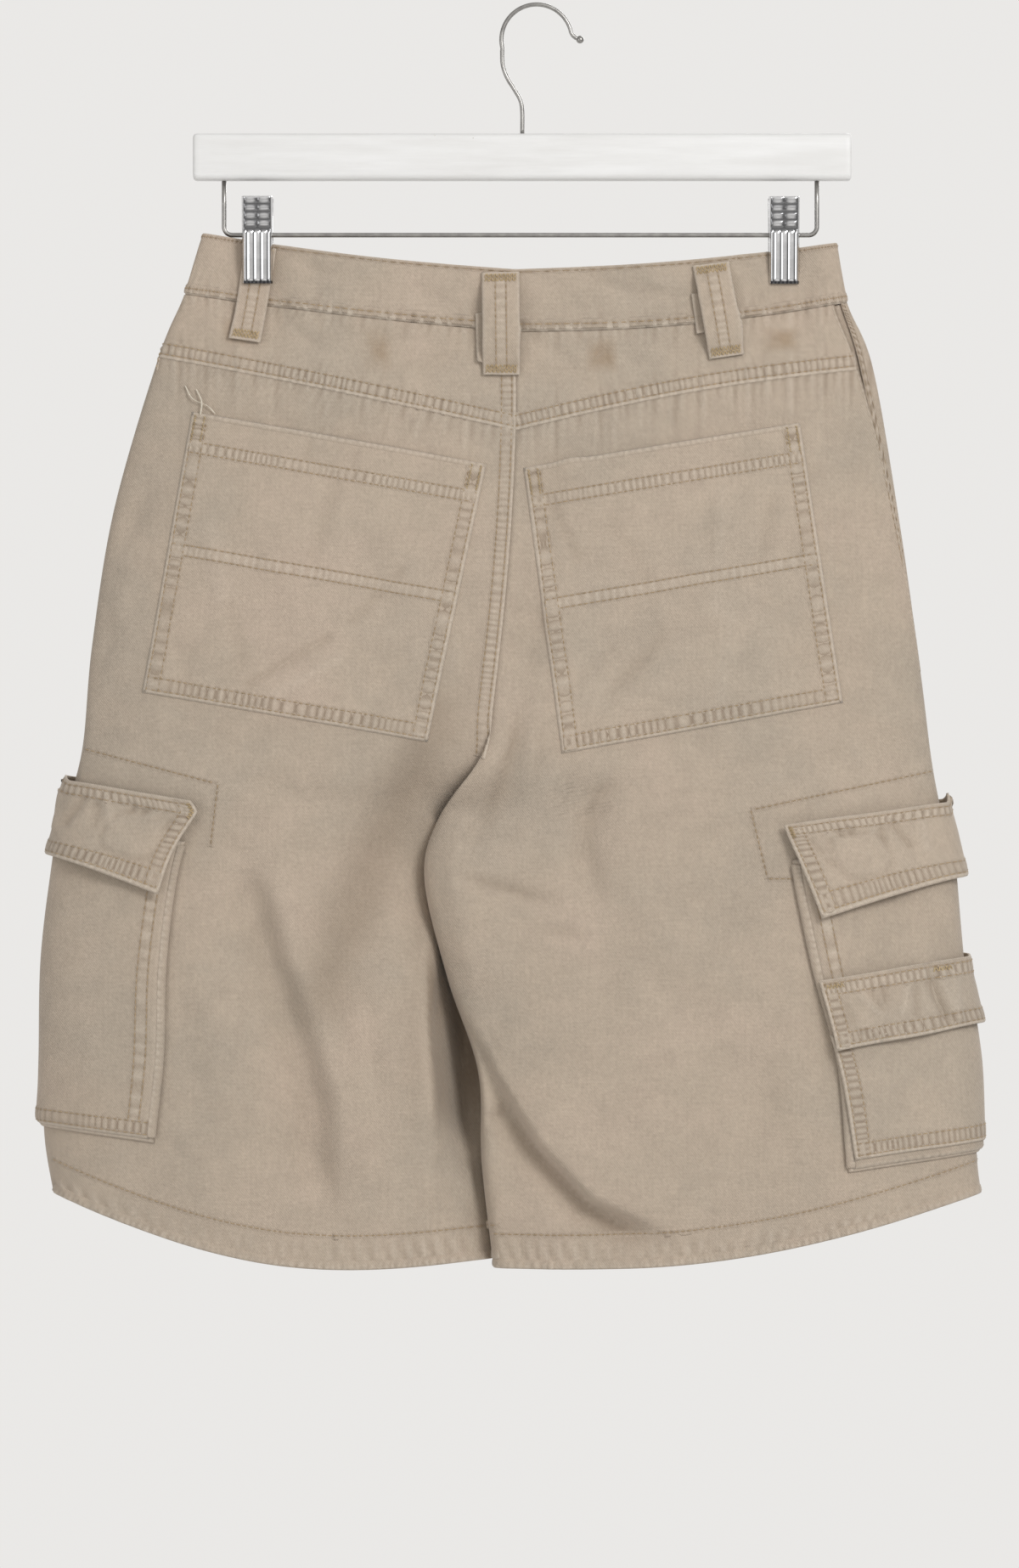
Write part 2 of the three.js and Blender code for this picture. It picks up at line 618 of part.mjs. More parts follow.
// One jaw of a spring clip: a bent plate with two ears that the rod passes through
function clipJaw(place, outward, face, earX) {
  const bend = [
    [face, CLIP.bottom], [face + 0.6, -146], [face + 2.4, -137], [face + 3.4, -128],
    [face + 3.6, -121], [face + 5, -113], [face + 7.4, CLIP.top],
  ];
  const outline = [...bend, ...bend.map(([y, z]) => [y + CLIP.plate, z]).reverse()];
  const shape = new THREE.Shape(outline.map(([y, z]) => new THREE.Vector2(outward * y, z)));
  const plate = new THREE.ExtrudeGeometry(shape, { depth: CLIP.width, bevelEnabled: false });
  plate.rotateX(Math.PI / 2).rotateZ(Math.PI / 2).translate(place.x - CLIP.width / 2, 0, 0);
  let solid = solidFrom(plate);
  const reach = face + 3.8;
  const behind = 2.8;
  for (const side of [-1, 1]) {
    const ear = new THREE.BoxGeometry(1, reach + behind, CLIP.earTop - CLIP.earBottom);
    ear.translate(place.x + side * earX, (outward * (reach - behind)) / 2, (CLIP.earTop + CLIP.earBottom) / 2);
    solid = solid.add(solidFrom(ear));
  }
  const hole = new THREE.CylinderGeometry(ROD.wire + 0.35, ROD.wire + 0.35, 2 * CLIP.width, 10);
  hole.rotateZ(Math.PI / 2).translate(place.x, 0, ROD.z);
  return solid.subtract(solidFrom(hole));
}

function buildClips() {
  for (const place of CLIP_PLACES) {
    const outerEar = CLIP.width / 2 - 0.5;
    add("clip_" + place.name + "_front", clipJaw(place, -1, place.frontFace, outerEar), MATERIALS.chrome);
    add("clip_" + place.name + "_back", clipJaw(place, 1, place.backFace, outerEar - 1.5), MATERIALS.chrome);
  }
}

// The waistband: one strip from centre front round the back to centre front
function buildWaistband() {
  const rows = 3;
  const point = (lift) => (i, j) => {
    const part = (i - BAND_COLUMNS) / BAND_COLUMNS;
    const half = part <= 0 ? HALVES.right : HALVES.left;
    const around = Math.min(Math.abs(part), 1 - 2 * AROUND_GAP);
    const row = lerp(ROW.top, ROW.band - ROW_GAP, j / rows);
    const lifted = liftedPoint(half, around, row, lift);
    if (part === 0) lifted.x -= SEAM_GAP / 2;
    return lifted;
  };
  const solid = wall(2 * BAND_COLUMNS, rows, point(BAND_PROUD), point(BAND_PROUD - BAND_CLOTH));
  add("waistband", solid, MATERIALS.twill);
}

// A layer over the back panel, the front panel or both, on the panels' own grid lines
function layer(half, faces, rows, lowLift, highLift) {
  const lines = [];
  if (faces.includes("back")) {
    for (let i = 0; i <= BACK_COLUMNS; i++) lines.push((row) => backAround(half, i / BACK_COLUMNS, row));
  }
  if (faces.includes("front")) {
    const first = faces.includes("back") ? 1 : 0;
    for (let i = first; i <= FRONT_COLUMNS; i++) lines.push((row) => frontAround(half, i / FRONT_COLUMNS, row));
  }
  const point = (lift) => (i, j) => liftedPoint(half, lines[i](rows[j]), rows[j], lift(rows[j]));
  return wall(lines.length - 1, rows.length - 1, point(highLift), point(lowLift));
}

const evenly = (height) => () => height;
const hemInside = (row) => -CLOTH - (row > HEM_ROW ? HEM_EXTRA : 0);

function buildPanels(half) {
  const below = [ROWS_BELOW_YOKE[0] + ROW_GAP, ...ROWS_BELOW_YOKE.slice(1)];
  add("back_panel_" + half.name, layer(half, ["back"], below, hemInside, evenly(0)), MATERIALS.twill);
  const yokeRows = Array.from({ length: YOKE_ROWS + 1 }, (_, j) =>
    lerp(ROW.band + ROW_GAP, ROW.yoke - ROW_GAP, j / YOKE_ROWS),
  );
  add("yoke_" + half.name, layer(half, ["back"], yokeRows, evenly(-CLOTH), evenly(0)), MATERIALS.twillLight);
  const frontRows = [ROW.band + ROW_GAP, 1.35, 1.7, ...ROWS_BELOW_YOKE];
  add("front_panel_" + half.name, layer(half, ["front"], frontRows, hemInside, evenly(0)), MATERIALS.twill);
}

// The cloth that shows in the mouth of a slanted hip pocket, tucked inside the front panel
function buildHipPocketFacing(half) {
  const columns = 4;
  const rows = 6;
  const inside = -CLOTH - SEAM_GAP;
  const point = (lift) => (i, j) => {
    const row = lerp(ROW.band + ROW_GAP, HIP_POCKET.lastRow, j / rows);
    const from = sideSeam(half, row) + AROUND_GAP;
    const to = from + hipPocketWidth(row) + HIP_POCKET.tuck;
    return liftedPoint(half, lerp(from, to, i / columns), row, lift);
  };
  const solid = wall(columns, rows, point(inside), point(inside - 1));
  const frontRows = [ROW.band + ROW_GAP, 1.35, 1.7, ...ROWS_BELOW_YOKE.filter((row) => row <= ROW.seat)];
  const behindPanel = layer(half, ["front"], frontRows, evenly(inside), evenly(3));
  add("hip_pocket_facing_" + half.name, solid.subtract(behindPanel), MATERIALS.twillLight);
}

function buildFly() {
  const half = HALVES.left;
  const rows = [ROW.band + ROW_GAP, 1.35, 1.7, ...ROWS_BELOW_YOKE.filter((row) => row <= ROW.crotch)];
  const solid = layer(half, ["front"], rows, evenly(LAYER_LIFT), evenly(LAYER_LIFT + 1.1));
  const top = column(half.sections, "centreZ", ROW.band) - column(half.sections, "frontDrop", ROW.band);
  const inner = -4.2;
  const outer = inner - FLY.width;
  const bottom = top - FLY.length;
  const outline = [
    [inner, top + 30], [outer, top + 30], [outer, bottom + 34], [outer + 8, bottom + 14],
    [inner - 12, bottom], [inner, bottom],
  ];
  add("fly", solid.intersect(prism(outline, 0, 90)), MATERIALS.twill);
}

function buildButton() {
  const middle = liftedPoint(HALVES.left, 0.985, 0.5, BAND_PROUD + BUTTON.lift);
  const { radius, thickness, dish } = BUTTON;
  const profile = [
    [0, 0], [radius - 1, 0], [radius, 1], [radius, 2.2], [radius - 1, thickness], [dish, thickness],
    [dish - 1, 2], [0, 2],
  ];
  const geometry = new THREE.LatheGeometry(profile.map(([r, h]) => new THREE.Vector2(r, h)), 20);
  geometry.translate(middle.x, middle.y, middle.z);
  add("waist_button", solidFrom(geometry), MATERIALS.button);
}

function buildBackPocket(half) {
  const solid = layer(half, ["back"], ROWS_BELOW_YOKE.slice(0, 12), evenly(LAYER_LIFT), evenly(LAYER_LIFT + CLOTH));
  const outline = prism(BACK_POCKETS[half.name], -110, 0);
  add("back_pocket_" + half.name, solid.intersect(outline), MATERIALS.twillLight);
}

// The block that a cargo piece's outline cuts from a layer, round the side of one leg
function cargoBlock(half, piece, inset = 0) {
  const reach = half.side * (260 + CARGO_REACH);
  const inward = -half.side * inset;
  const middle = half.side * 250;
  const cut = (top, bottom, fromY, toY) =>
    prism(
      [
        [
          top[0] - inward, top[1] - inset], [middle, piece.sideTop - inset], [reach,
          piece.sideTop - inset,
        ],
        [
          reach, piece.sideBottom + inset], [middle, piece.sideBottom + inset], [bottom[0] - inward,
          bottom[1] + inset,
        ],
      ],
      fromY,
      toY,
    );
  const middleY = column(half.sections, "middleY", ROW.leg);
  const back = cut(piece.backTop, piece.backBottom, -130, middleY);
  return back.add(cut(piece.frontTop, piece.frontBottom, middleY - 0.01, 130));
}

function cargoPiece(half, piece, lift, thickness, flare = 0) {
  const rows = ROWS_BELOW_YOKE.filter((row) => row >= ROW.crotch && row < HEM_ROW);
  const flareAt = (row) => {
    const top = locate("back", ...piece.backTop).row;
    const bottom = locate("back", ...piece.backBottom).row;
    return flare * smoothstep(row, lerp(top, bottom, 0.45), bottom);
  };
  const inside = (row) => lift + flareAt(row);
  const outside = (row) => lift + thickness + flareAt(row);
  const solid = layer(half, ["back", "front"], rows, inside, outside);
  return solid.intersect(cargoBlock(half, piece));
}

function buildCargoPocket(half) {
  const { pocket, flap, phonePocket, phoneFlap } = CARGO_POCKETS[half.name];
  const gusset = cargoPiece(half, pocket, LAYER_LIFT, GUSSET.depth).subtract(cargoBlock(half, pocket, GUSSET.width));
  add("cargo_gusset_" + half.name, gusset, MATERIALS.twillLight);
  const pocketLift = LAYER_LIFT + GUSSET.depth + SEAM_GAP;
  add("cargo_pocket_" + half.name, cargoPiece(half, pocket, pocketLift, CLOTH), MATERIALS.twill);
  const flapLift = pocketLift + CLOTH + SEAM_GAP;
  add("cargo_flap_" + half.name, cargoPiece(half, flap, flapLift, CLOTH, FLAP_FLARE), MATERIALS.twill);
  if (!phonePocket) return;
  const phoneLift = pocketLift + CLOTH + PHONE_LIFT;
  add("phone_pocket_" + half.name, cargoPiece(half, phonePocket, phoneLift, CLOTH), MATERIALS.twillLight);
  const phoneFlapLift = phoneLift + CLOTH + PHONE_LIFT;
  add("phone_flap_" + half.name, cargoPiece(half, phoneFlap, phoneFlapLift, CLOTH, 1.6), MATERIALS.twill);
}

function buildBeltLoops() {
  for (const loop of LOOPS) {
    const lift = loop.bow > 0 ? LOOP.lift : LOOP.liftAtClip;
    const bowed = (t) => loop.bow * Math.sin(Math.PI * clamp((t - 0.08) / 0.84, 0, 1)) ** 0.7;
    const point = (height) => (i, j) => {
      const s = i / LOOP.across;
      const t = j / LOOP.steps;
      const onTop = (k) => lerp(loop.topLeft[k], loop.topRight[k], s);
      const onBottom = (k) => lerp(loop.bottomLeft[k], loop.bottomRight[k], s);
      const x = lerp(onTop(0), onBottom(0), t);
      const z = lerp(onTop(1), onBottom(1), t);
      const { half, around, row } = locate(loop.face, x, z);
      return liftedPoint(half, around, row, lift + bowed(t) + height);
    };
    add(loop.name, wall(LOOP.across, LOOP.steps, point(LOOP.cloth), point(0)), MATERIALS.twillLight);
  }
}

buildBar();
buildHook();
buildRod();
buildClips();
buildWaistband();
for (const half of Object.values(HALVES)) {
  buildPanels(half);
  buildHipPocketFacing(half);
  buildBackPocket(half);
  buildCargoPocket(half);
}
buildFly();
buildButton();
buildBeltLoops();

export default shortsOnHanger;
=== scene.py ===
# Cargo shorts hanging from a clip hanger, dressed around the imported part.
# Shapes are worked out in millimetres from the stem of the hanger's hook and turned into metres
# when a mesh is made. The seat of the shorts faces -Y, toward the camera.
import math

import bmesh
import bpy
import numpy as np
from mathutils import Matrix, Vector


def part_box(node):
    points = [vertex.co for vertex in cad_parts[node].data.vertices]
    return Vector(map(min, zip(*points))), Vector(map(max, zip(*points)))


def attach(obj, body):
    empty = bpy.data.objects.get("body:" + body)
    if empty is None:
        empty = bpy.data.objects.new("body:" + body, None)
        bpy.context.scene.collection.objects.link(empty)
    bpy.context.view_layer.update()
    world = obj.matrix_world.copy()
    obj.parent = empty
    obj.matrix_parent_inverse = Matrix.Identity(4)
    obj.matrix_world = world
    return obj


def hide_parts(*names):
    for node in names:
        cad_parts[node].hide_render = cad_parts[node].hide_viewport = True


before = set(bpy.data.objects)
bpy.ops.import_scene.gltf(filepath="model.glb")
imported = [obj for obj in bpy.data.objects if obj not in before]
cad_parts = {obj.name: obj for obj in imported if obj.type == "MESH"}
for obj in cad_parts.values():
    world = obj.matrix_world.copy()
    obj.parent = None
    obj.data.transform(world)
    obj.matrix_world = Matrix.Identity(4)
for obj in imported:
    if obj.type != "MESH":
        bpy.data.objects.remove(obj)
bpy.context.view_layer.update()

STEM_X = -7.8  # the stem stands to one side of the hook's top, which is the origin
MM = 0.001

# Camera: straight on, with the photograph's frame of 1200 by 1846 at the garment's plane
PHOTO = {"width": 1200, "height": 1846, "mm_per_pixel": 0.46, "centre": (-14.7, -421)}
CAMERA_AWAY = 5.0
SENSOR = 36.0

# Sections of each half from the waist down, as in the part's own tables
COLUMNS = (
    "centre_x", "centre_z", "side_x", "side_z", "half_depth", "middle_y", "open", "edge", "sag", "seam",
    "front_drop",
)
LEFT_SECTIONS = (
    (-3.7, -142.6, -172.5, -122.8, 8, 0, 1, 0.42, 2.4, 0.52, 12),
    (-3.7, -176.6, -183, -156, 10, 0, 1, 0.45, 1.6, 0.53, 12),
    (-3.7, -230, -197, -190, 16, 0, 1, 0.6, -1, 0.54, 10),
    (-7, -295, -221, -272, 24, 0, 1, 0.72, 0, 0.55, 5),
    (-14, -364, -233, -346, 28, 0, 1, 0.75, 0, 0.55, 2),
    (-21, -404, -238, -400, 30, 0, 1, 0.75, 0, 0.55, 0),
    (-44, -440, -246, -434, 31, 2, 0, 0.72, 0, 0.545, 0),
    (-54.5, -474, -250, -464, 33, 3, 0, 0.7, 0, 0.54, 0),
    (-44, -525, -257, -516, 36, 3, 0, 0.7, 0, 0.54, 0),
    (-26.5, -576, -259, -567, 38, 3, 0, 0.7, 1, 0.54, 0),
    (-24, -626, -259, -610, 38, 3, 0, 0.7, 8, 0.54, 0),
    (-17.5, -677, -254, -642, 37, 3, 0, 0.7, 20, 0.54, 0),
)
RIGHT_SECTIONS = (
    (-3.7, -142.6, 170, -128, 8, 0, 1, 0.42, 2.8, 0.405, 12),
    (-3.7, -176.6, 176, -160.5, 10, 0, 1, 0.45, 4.4, 0.407, 12),
    (-3.7, -230, 190, -196, 16, 0, 1, 0.6, -4, 0.405, 10),
    (-7, -295, 204.7, -281.5, 24, 0, 1, 0.72, 0, 0.46, 5),
    (-14, -364, 215.7, -360, 28, 0, 1, 0.75, 0, 0.5, 2),
    (-21, -404, 221.7, -408, 30, 0, 1, 0.75, 0, 0.51, 0),
    (-44, -440, 227.5, -441, 31, -2, 0, 0.72, 0, 0.515, 0),
    (-51.5, -472, 231, -470, 33, -3, 0, 0.7, 0, 0.52, 0),
    (-39, -526, 237, -525, 36, -3, 0, 0.7, 0, 0.52, 0),
    (-22.5, -576, 244, -571, 38, -3, 0, 0.7, 1, 0.52, 0),
    (-20.5, -626, 246, -622, 38, -3, 0, 0.7, 7, 0.52, 0),
    (-14, -682, 248.4, -641.7, 37, -3, 0, 0.7, 14, 0.52, 0),
)
SECTIONS = np.array([LEFT_SECTIONS, RIGHT_SECTIONS])
TOP, BAND, YOKE, HIP, SEAT, CROTCH, FORK, THIGH, KNEE, LEG, LOW, HEM = range(12)
LEFT, RIGHT, BOTH = 0, 1, 2
SIDE_NAMES = ("left", "right")
SIDE_SIGNS = np.array([-1.0, 1.0])
FINE_ROWS = 160  # steps of the smooth curve between two rows of the sections
OUTSIDE = 262  # past the widest place of either leg
CLIP_X = np.array([-143.3, 141.7])
PINCH_DEPTH, PINCH_WIDTH, PINCH_ROW, PINCH_GONE = 2.6, 17, 0.95, 1.9

# Folds: half, face, path as x, z points, how far the cloth stands out, soft widths to the
# left and right of the path. The first rows are the part's own large folds.
FOLDS = (
    (BOTH, "back", ((1, -312), (5, -338), (-4, -372)), -5, 11, 9),
    (LEFT, "back", ((-96, -381), (-76, -368), (-56, -350)), -4, 9, 12),
    (LEFT, "back", ((-47, -400), (-70, -431), (-83, -470), (-110, -514)), -10, 17, 15),
    (
        LEFT, "back",
        ((-152, -462), (-140, -506), (-124, -550), (-113, -592), (-112, -620), (-104, -655)), -8, 15, 8,
    ),
    (LEFT, "back", ((-132, -470), (-122, -515), (-106, -556), (-96, -595), (-95, -640)), 5, 8, 14),
    (LEFT, "back", ((-54, -484), (-53, -519), (-52, -548), (-48.5, -585), (-46.5, -620)), 9, 15, 2.2),
    (LEFT, "back", ((-38, -496), (-37, -540), (-35, -580), (-33, -606), (-32, -624)), -27, 7, 15),
    (RIGHT, "back", ((72, -326), (56, -353), (29, -375)), -4, 10, 12),
    (RIGHT, "back", ((57, -415), (38, -428), (31, -450), (35, -470), (42, -493)), -5, 8, 12),
    (RIGHT, "back", ((-30, -436), (-37, -466), (-30, -505), (-18, -545)), 6, 9, 20),
    (RIGHT, "back", ((-30, -550), (-16, -578), (-4, -601), (6, -617), (34, -647), (74, -664)), -8.5, 13, 2.6),
    (RIGHT, "back", ((-12, -574), (0, -597), (10, -613), (38, -643), (77, -660)), 5, 3, 20),
    (LEFT, "front", ((-60, -420), (-92, -470), (-104, -540), (-98, -620)), -9, 14, 18),
    (LEFT, "front", ((-40, -470), (-62, -520), (-60, -610)), 6, 16, 10),
    (BOTH, "front", ((-4, -330), (-10, -368), (-22, -400)), -6, 16, 14),
    (RIGHT, "front", ((30, -410), (62, -460), (80, -530), (70, -618)), -9, 16, 13),
    (RIGHT, "front", ((112, -470), (118, -540), (104, -620)), 5, 14, 16),
    # Smaller creases of the seat and legs
    (RIGHT, "back", ((-40, -471), (-8, -480), (22, -488)), -3.6, 3.5, 6),
    (RIGHT, "back", ((-2, -502), (20, -503), (42, -507)), -2.6, 3, 5),
    (RIGHT, "back", ((20, -404), (27, -424), (31, -442)), -3.4, 3.5, 6),
    (RIGHT, "back", ((-3, -372), (-6, -400), (-14, -424), (-26, -448), (-30, -470)), -4, 4, 7),
    (RIGHT, "back", ((6, -380), (4, -404), (-2, -430)), 2.6, 5, 4),
    (RIGHT, "back", ((57, -415), (38, -428), (31, -450), (35, -470), (42, -493)), -2.4, 2.6, 5),
    (RIGHT, "back", ((-21, -606), (-12, -600), (-4, -592)), -3.5, 2.2, 4),
    (LEFT, "back", ((-240, -380), (-226, -348), (-218, -322)), -3.2, 5, 7),
    (LEFT, "back", ((-222, -300), (-208, -276), (-200, -262)), -2.4, 5, 6),
    (LEFT, "back", ((-232, -352), (-220, -332), (-210, -300)), 2, 5, 6),
    (LEFT, "back", ((-26, -330), (-30, -360), (-40, -392)), -2.6, 5, 8),
    (LEFT, "back", ((-14, -400), (-32, -424), (-46, -452)), 3, 7, 6),
    (BOTH, "back", ((-66, -146), (-52, -156), (-36, -164)), -2.0, 2.4, 5),
    (BOTH, "back", ((-74, -160), (-56, -166), (-30, -172)), 1.5, 2.4, 4),
    (BOTH, "back", ((-128, -134), (-112, -144), (-92, -150)), -2.0, 2.6, 5),
    (BOTH, "back", ((26, -142), (50, -154), (84, -160)), -1.9, 2.4, 5),
    (BOTH, "back", ((60, -140), (72, -150), (88, -154)), 1.6, 2.4, 4),
    (BOTH, "back", ((112, -132), (122, -146), (128, -160)), -1.8, 2.4, 4),
    (BOTH, "back", ((4, -180), (20, -190), (34, -206)), -2.0, 2.6, 5),
    (BOTH, "back", ((-30, -184), (-46, -192), (-60, -206)), -1.8, 2.6, 5),
    (BOTH, "back", ((120, -172), (128, -186), (130, -198)), -2.0, 2.6, 5),
    (BOTH, "back", ((-128, -166), (-120, -180), (-104, -190)), -1.9, 2.6, 5),
    (RIGHT, "back", ((7, -259), (11, -288), (15, -316)), -2.2, 5, 6),
    (RIGHT, "back", ((26, -245), (27, -260)), 2, 6, 7),
    (RIGHT, "back", ((111, -261), (104, -302)), 2, 8, 8),
    (RIGHT, "back", ((99, -321), (102, -343)), 1.8, 8, 7),
    (RIGHT, "back", ((153, -327), (150, -353), (137, -367)), -2.2, 6, 8),
    (RIGHT, "back", ((60, -520), (92, -548), (112, -590)), -3.0, 12, 16),
    (RIGHT, "back", ((120, -430), (112, -470), (116, -520)), -3.0, 10, 12),
    (RIGHT, "back", ((150, -520), (146, -570), (152, -620)), 3.0, 10, 10),
    (RIGHT, "back", ((96, -640), (124, -610), (132, -566)), -3.0, 8, 12),
    (LEFT, "back", ((-160, -408), (-140, -424), (-112, -430)), -2.4, 8, 10),
    (LEFT, "back", ((-176, -500), (-168, -548), (-160, -600)), 2.6, 9, 12),
    (LEFT, "back", ((-92, -520), (-84, -560), (-80, -606)), -3, 8, 8),
    (LEFT, "back", ((-60, -420), (-52, -446), (-58, -470)), 3, 8, 10),
    (LEFT, "back", ((-130, -620), (-122, -648), (-124, -668)), 2, 8, 8),
    (LEFT, "back", ((-150, -300), (-132, -330), (-120, -356)), -1.6, 10, 12),
    (LEFT, "back", ((-60, -268), (-66, -300), (-58, -330)), 1.8, 10, 10),
    (LEFT, "back", ((-196, -330), (-186, -352), (-182, -384)), -2, 8, 10),
    (LEFT, "front", ((-160, -440), (-150, -500), (-138, -560)), -3, 10, 12),
    (LEFT, "front", ((-80, -300), (-60, -340), (-34, -366)), -3, 10, 10),
    (LEFT, "front", ((-30, -420), (-70, -440), (-104, -446)), -2.6, 7, 8),
    (RIGHT, "front", ((70, -300), (44, -342), (16, -370)), -3, 10, 10),
    (RIGHT, "front", ((10, -424), (50, -440), (86, -450)), -2.6, 7, 8),
    (RIGHT, "front", ((160, -430), (150, -500), (156, -570)), -3, 12, 10),
)
FOLD_FADE = 26
PUCKER_HEIGHT, ROPE_HEIGHT = 0.42, 0.5
# The right leg's inner edge lies over the left one's: shifts of the left and right edges
LEG_LAP = {"x": np.array([7.5, -1.5]), "y": np.array([9.0, -7.0]), "fade": 12.0}
# Slow ripples of all the cloth: height, wavelengths over x and z, phase
RIPPLES = ((0.5, 17, 29, 1.3), (0.32, -10.5, 23, 0.4), (0.22, 8.3, -12.7, 2.2))
# The mouth of the hip pockets: its part of the way round, and the row where it ends
MOUTH, MOUTH_END = 0.05, 3.3

# Pieces on the back, as x, z corners: top left, top right, bottom right, bottom left
BACK_POCKETS = (
    ((-178.5, -219.9), (-19.3, -248.4), (-51.1, -398.4), (-205.2, -371.7)),
    ((0.5, -250.5), (150, -225.9), (173, -377.2), (21.2, -404.8)),
)
# Cargo pieces wrap round the side: top and bottom corners on the back, heights on the outline,
# and top and bottom corners on the front
CARGO = {
    "pocket_left": (((-183.5, -452), (-200.5, -612)), (-440, -604), ((-118, -450), (-128, -616))),
    "flap_left": (((-178, -430), (-195, -481)), (-417, -455), ((-112, -431), (-118, -484))),
    "pocket_right": (((148, -462), (177.6, -628)), (-446, -616), ((92, -456), (104, -626))),
    "flap_right": (((140, -443.4), (160, -493.6)), (-427, -462), ((86, -440), (92, -488))),
    "phone_pocket": (((164.4, -556), (178, -623)), (-545, -611), ((172, -551), (176, -617))),
    "phone_flap": (((158.2, -527.2), (168, -564.9)), (-510, -547), ((168, -520), (172, -556))),
}
# Stitching of the patches that back the cargo pockets: half, path, seed
BACKING_LINES = (
    (LEFT, ((-237, -402), (-164, -421)), 3.1),
    (LEFT, ((-164, -421), (-168, -455)), 3.2),
    (RIGHT, ((222, -414), (123, -435)), 3.3),
    (RIGHT, ((123, -435), (132, -472)), 3.4),
    (RIGHT, ((132, -472), (146, -472)), 3.5),
)
# Belt loops: name, face, corners as on the pockets, how far the loop bows out
LOOPS = (
    ("belt_loop_centre", "back", ((-22, -144.6), (-1.6, -144.2), (-1.2, -200.4), (-21.4, -200.2)), 6),
    ("belt_loop_back_left", "back", ((-150, -129.4), (-132.6, -131.4), (-141.6, -183.4), (-159, -180.6)), 0),
    ("belt_loop_back_right", "back", ((92, -141), (111.6, -138.4), (119.8, -189.2), (101, -192)), 6),
    ("belt_loop_front_left", "front", ((-101, -146), (-82, -148.6), (-86, -203.4), (-105, -201)), 6),
    ("belt_loop_front_right", "front", ((76, -149), (95, -147), (99, -201), (80, -203)), 6),
)
LOOP_LIFT, LOOP_LIFT_AT_CLIP = 1.0, 1.75
# The folded ends that peek out beside two loops
LOOP_TUCKS = {
    "belt_loop_centre": ((-25.4, -167), (-20, -166), (-20, -194), (-24.4, -193)),
    "belt_loop_back_right": ((91.4, -156), (98, -156), (101, -177), (94.2, -178)),
}
CLOTH = 1.1  # thickness of the panels and yokes
BAND_HALF, BAND_HEIGHT = 354, 34  # the waistband from centre back to centre front, and its height
NARROW_FLAP = 45  # the phone pocket's flap is lower than this, and the cargo flaps are higher

# Cross-sections of sewn seams: offset, height, wear, and shade, which is painted shade in the
# grooves and under the folded edges. Offsets run to the left of the seam's path. A ladder of
# puckers stands between the rows of stitches.
FELLED = {
    "profile": (
        (-0.6, -0.3, 0.1, 0.4), (-0.05, 0.05, 0.5, 0.3), (0.3, 0.5, 0.9, 0.0), (1.0, 0.58, 0.6, 0.0),
        (1.6, 0.35, 0.2, 0.1), (2.1, 0.12, 0.0, 0.5), (3.0, 0.32, 0.15, 0.1), (4.9, 0.42, 0.2, 0.0),
        (6.8, 0.32, 0.15, 0.1), (7.7, 0.12, 0.0, 0.5), (8.5, 0.2, 0.05, 0.1), (9.9, -0.3, 0.0, 0.0),
    ),
    "rows": (2.1, 7.7),
    "ladder": 0.36,
}
TOPSTITCH = {
    "profile": (
        (-2.4, -0.3, 0.0, 0.0), (-1.4, 0.16, 0.05, 0.0), (-0.5, 0.08, 0.0, 0.25), (0.0, 0.02, 0.0, 0.45),
        (0.5, 0.08, 0.0, 0.25), (1.4, 0.16, 0.05, 0.0), (2.4, -0.3, 0.0, 0.0),
    ),
    "rows": (0.0,),
    "ladder": 0.14,
}
DOUBLE = {
    "profile": (
        (-2.0, -0.3, 0.0, 0.0), (-1.0, 0.2, 0.05, 0.0), (0.0, 0.03, 0.0, 0.5), (1.1, 0.25, 0.15, 0.0),
        (2.9, 0.32, 0.2, 0.0), (4.7, 0.25, 0.15, 0.0), (5.8, 0.03, 0.0, 0.5), (6.8, 0.2, 0.05, 0.0),
        (7.8, -0.3, 0.0, 0.0),
    ),
    "rows": (0.0, 5.8),
    "ladder": 0.26,
}
EDGE = {
    "profile": (
        (-0.5, -0.9, 0.6, 0.5), (-0.2, -0.1, 0.9, 0.1), (0.2, 0.35, 0.95, 0.0), (0.9, 0.35, 0.55, 0.0),
        (1.7, 0.05, 0.05, 0.45), (2.8, 0.28, 0.05, 0.12), (5.0, 0.36, 0.08, 0.06), (7.2, 0.28, 0.05, 0.12),
        (8.3, 0.05, 0.05, 0.45), (9.3, 0.2, 0.0, 0.05), (10.8, -0.3, 0.0, 0.0),
    ),
    "rows": (1.7, 8.3),
    "ladder": 0.36,
}
HEM_EDGE = {
    "profile": (
        (-1.8, -1.2, 0.6, 0.6), (-1.4, 0.1, 0.9, 0.2), (-0.6, 0.55, 0.8, 0.0), (0.8, 0.5, 0.4, 0.0),
        (2.6, 0.35, 0.1, 0.0), (4.4, -0.35, 0.0, 0.0),
    ),
    "rows": (1.2,),
    "ladder": 0.2,
}
SEAM_LINE = {
    "profile": (
        (-1.6, -0.3, 0.1, 0.0), (-0.8, 0.35, 0.6, 0.0), (-0.2, 0.3, 0.5, 0.2), (0.1, -0.3, 0.0, 0.9),
        (0.7, -0.2, 0.0, 0.4),
    ),
    "rows": (0.0,),
    "ladder": 0.1,
}
LIP = {
    "profile": (
        (-0.9, -0.9, 0.6, 0.4), (-0.4, 0.2, 1.0, 0.0), (0.4, 0.6, 0.9, 0.0), (1.6, 0.3, 0.3, 0.0),
        (3.2, -0.3, 0.0, 0.0),
    ),
    "rows": (0.8,),
    "ladder": 0.15,
}
PATH_STEP = 0.85
STITCH = {"length": 2.5, "gap": 0.8, "half_width": 0.26, "height": 0.34, "crown": 0.3}
INSET = 0.6  # from a piece's edge to the seam that runs along it

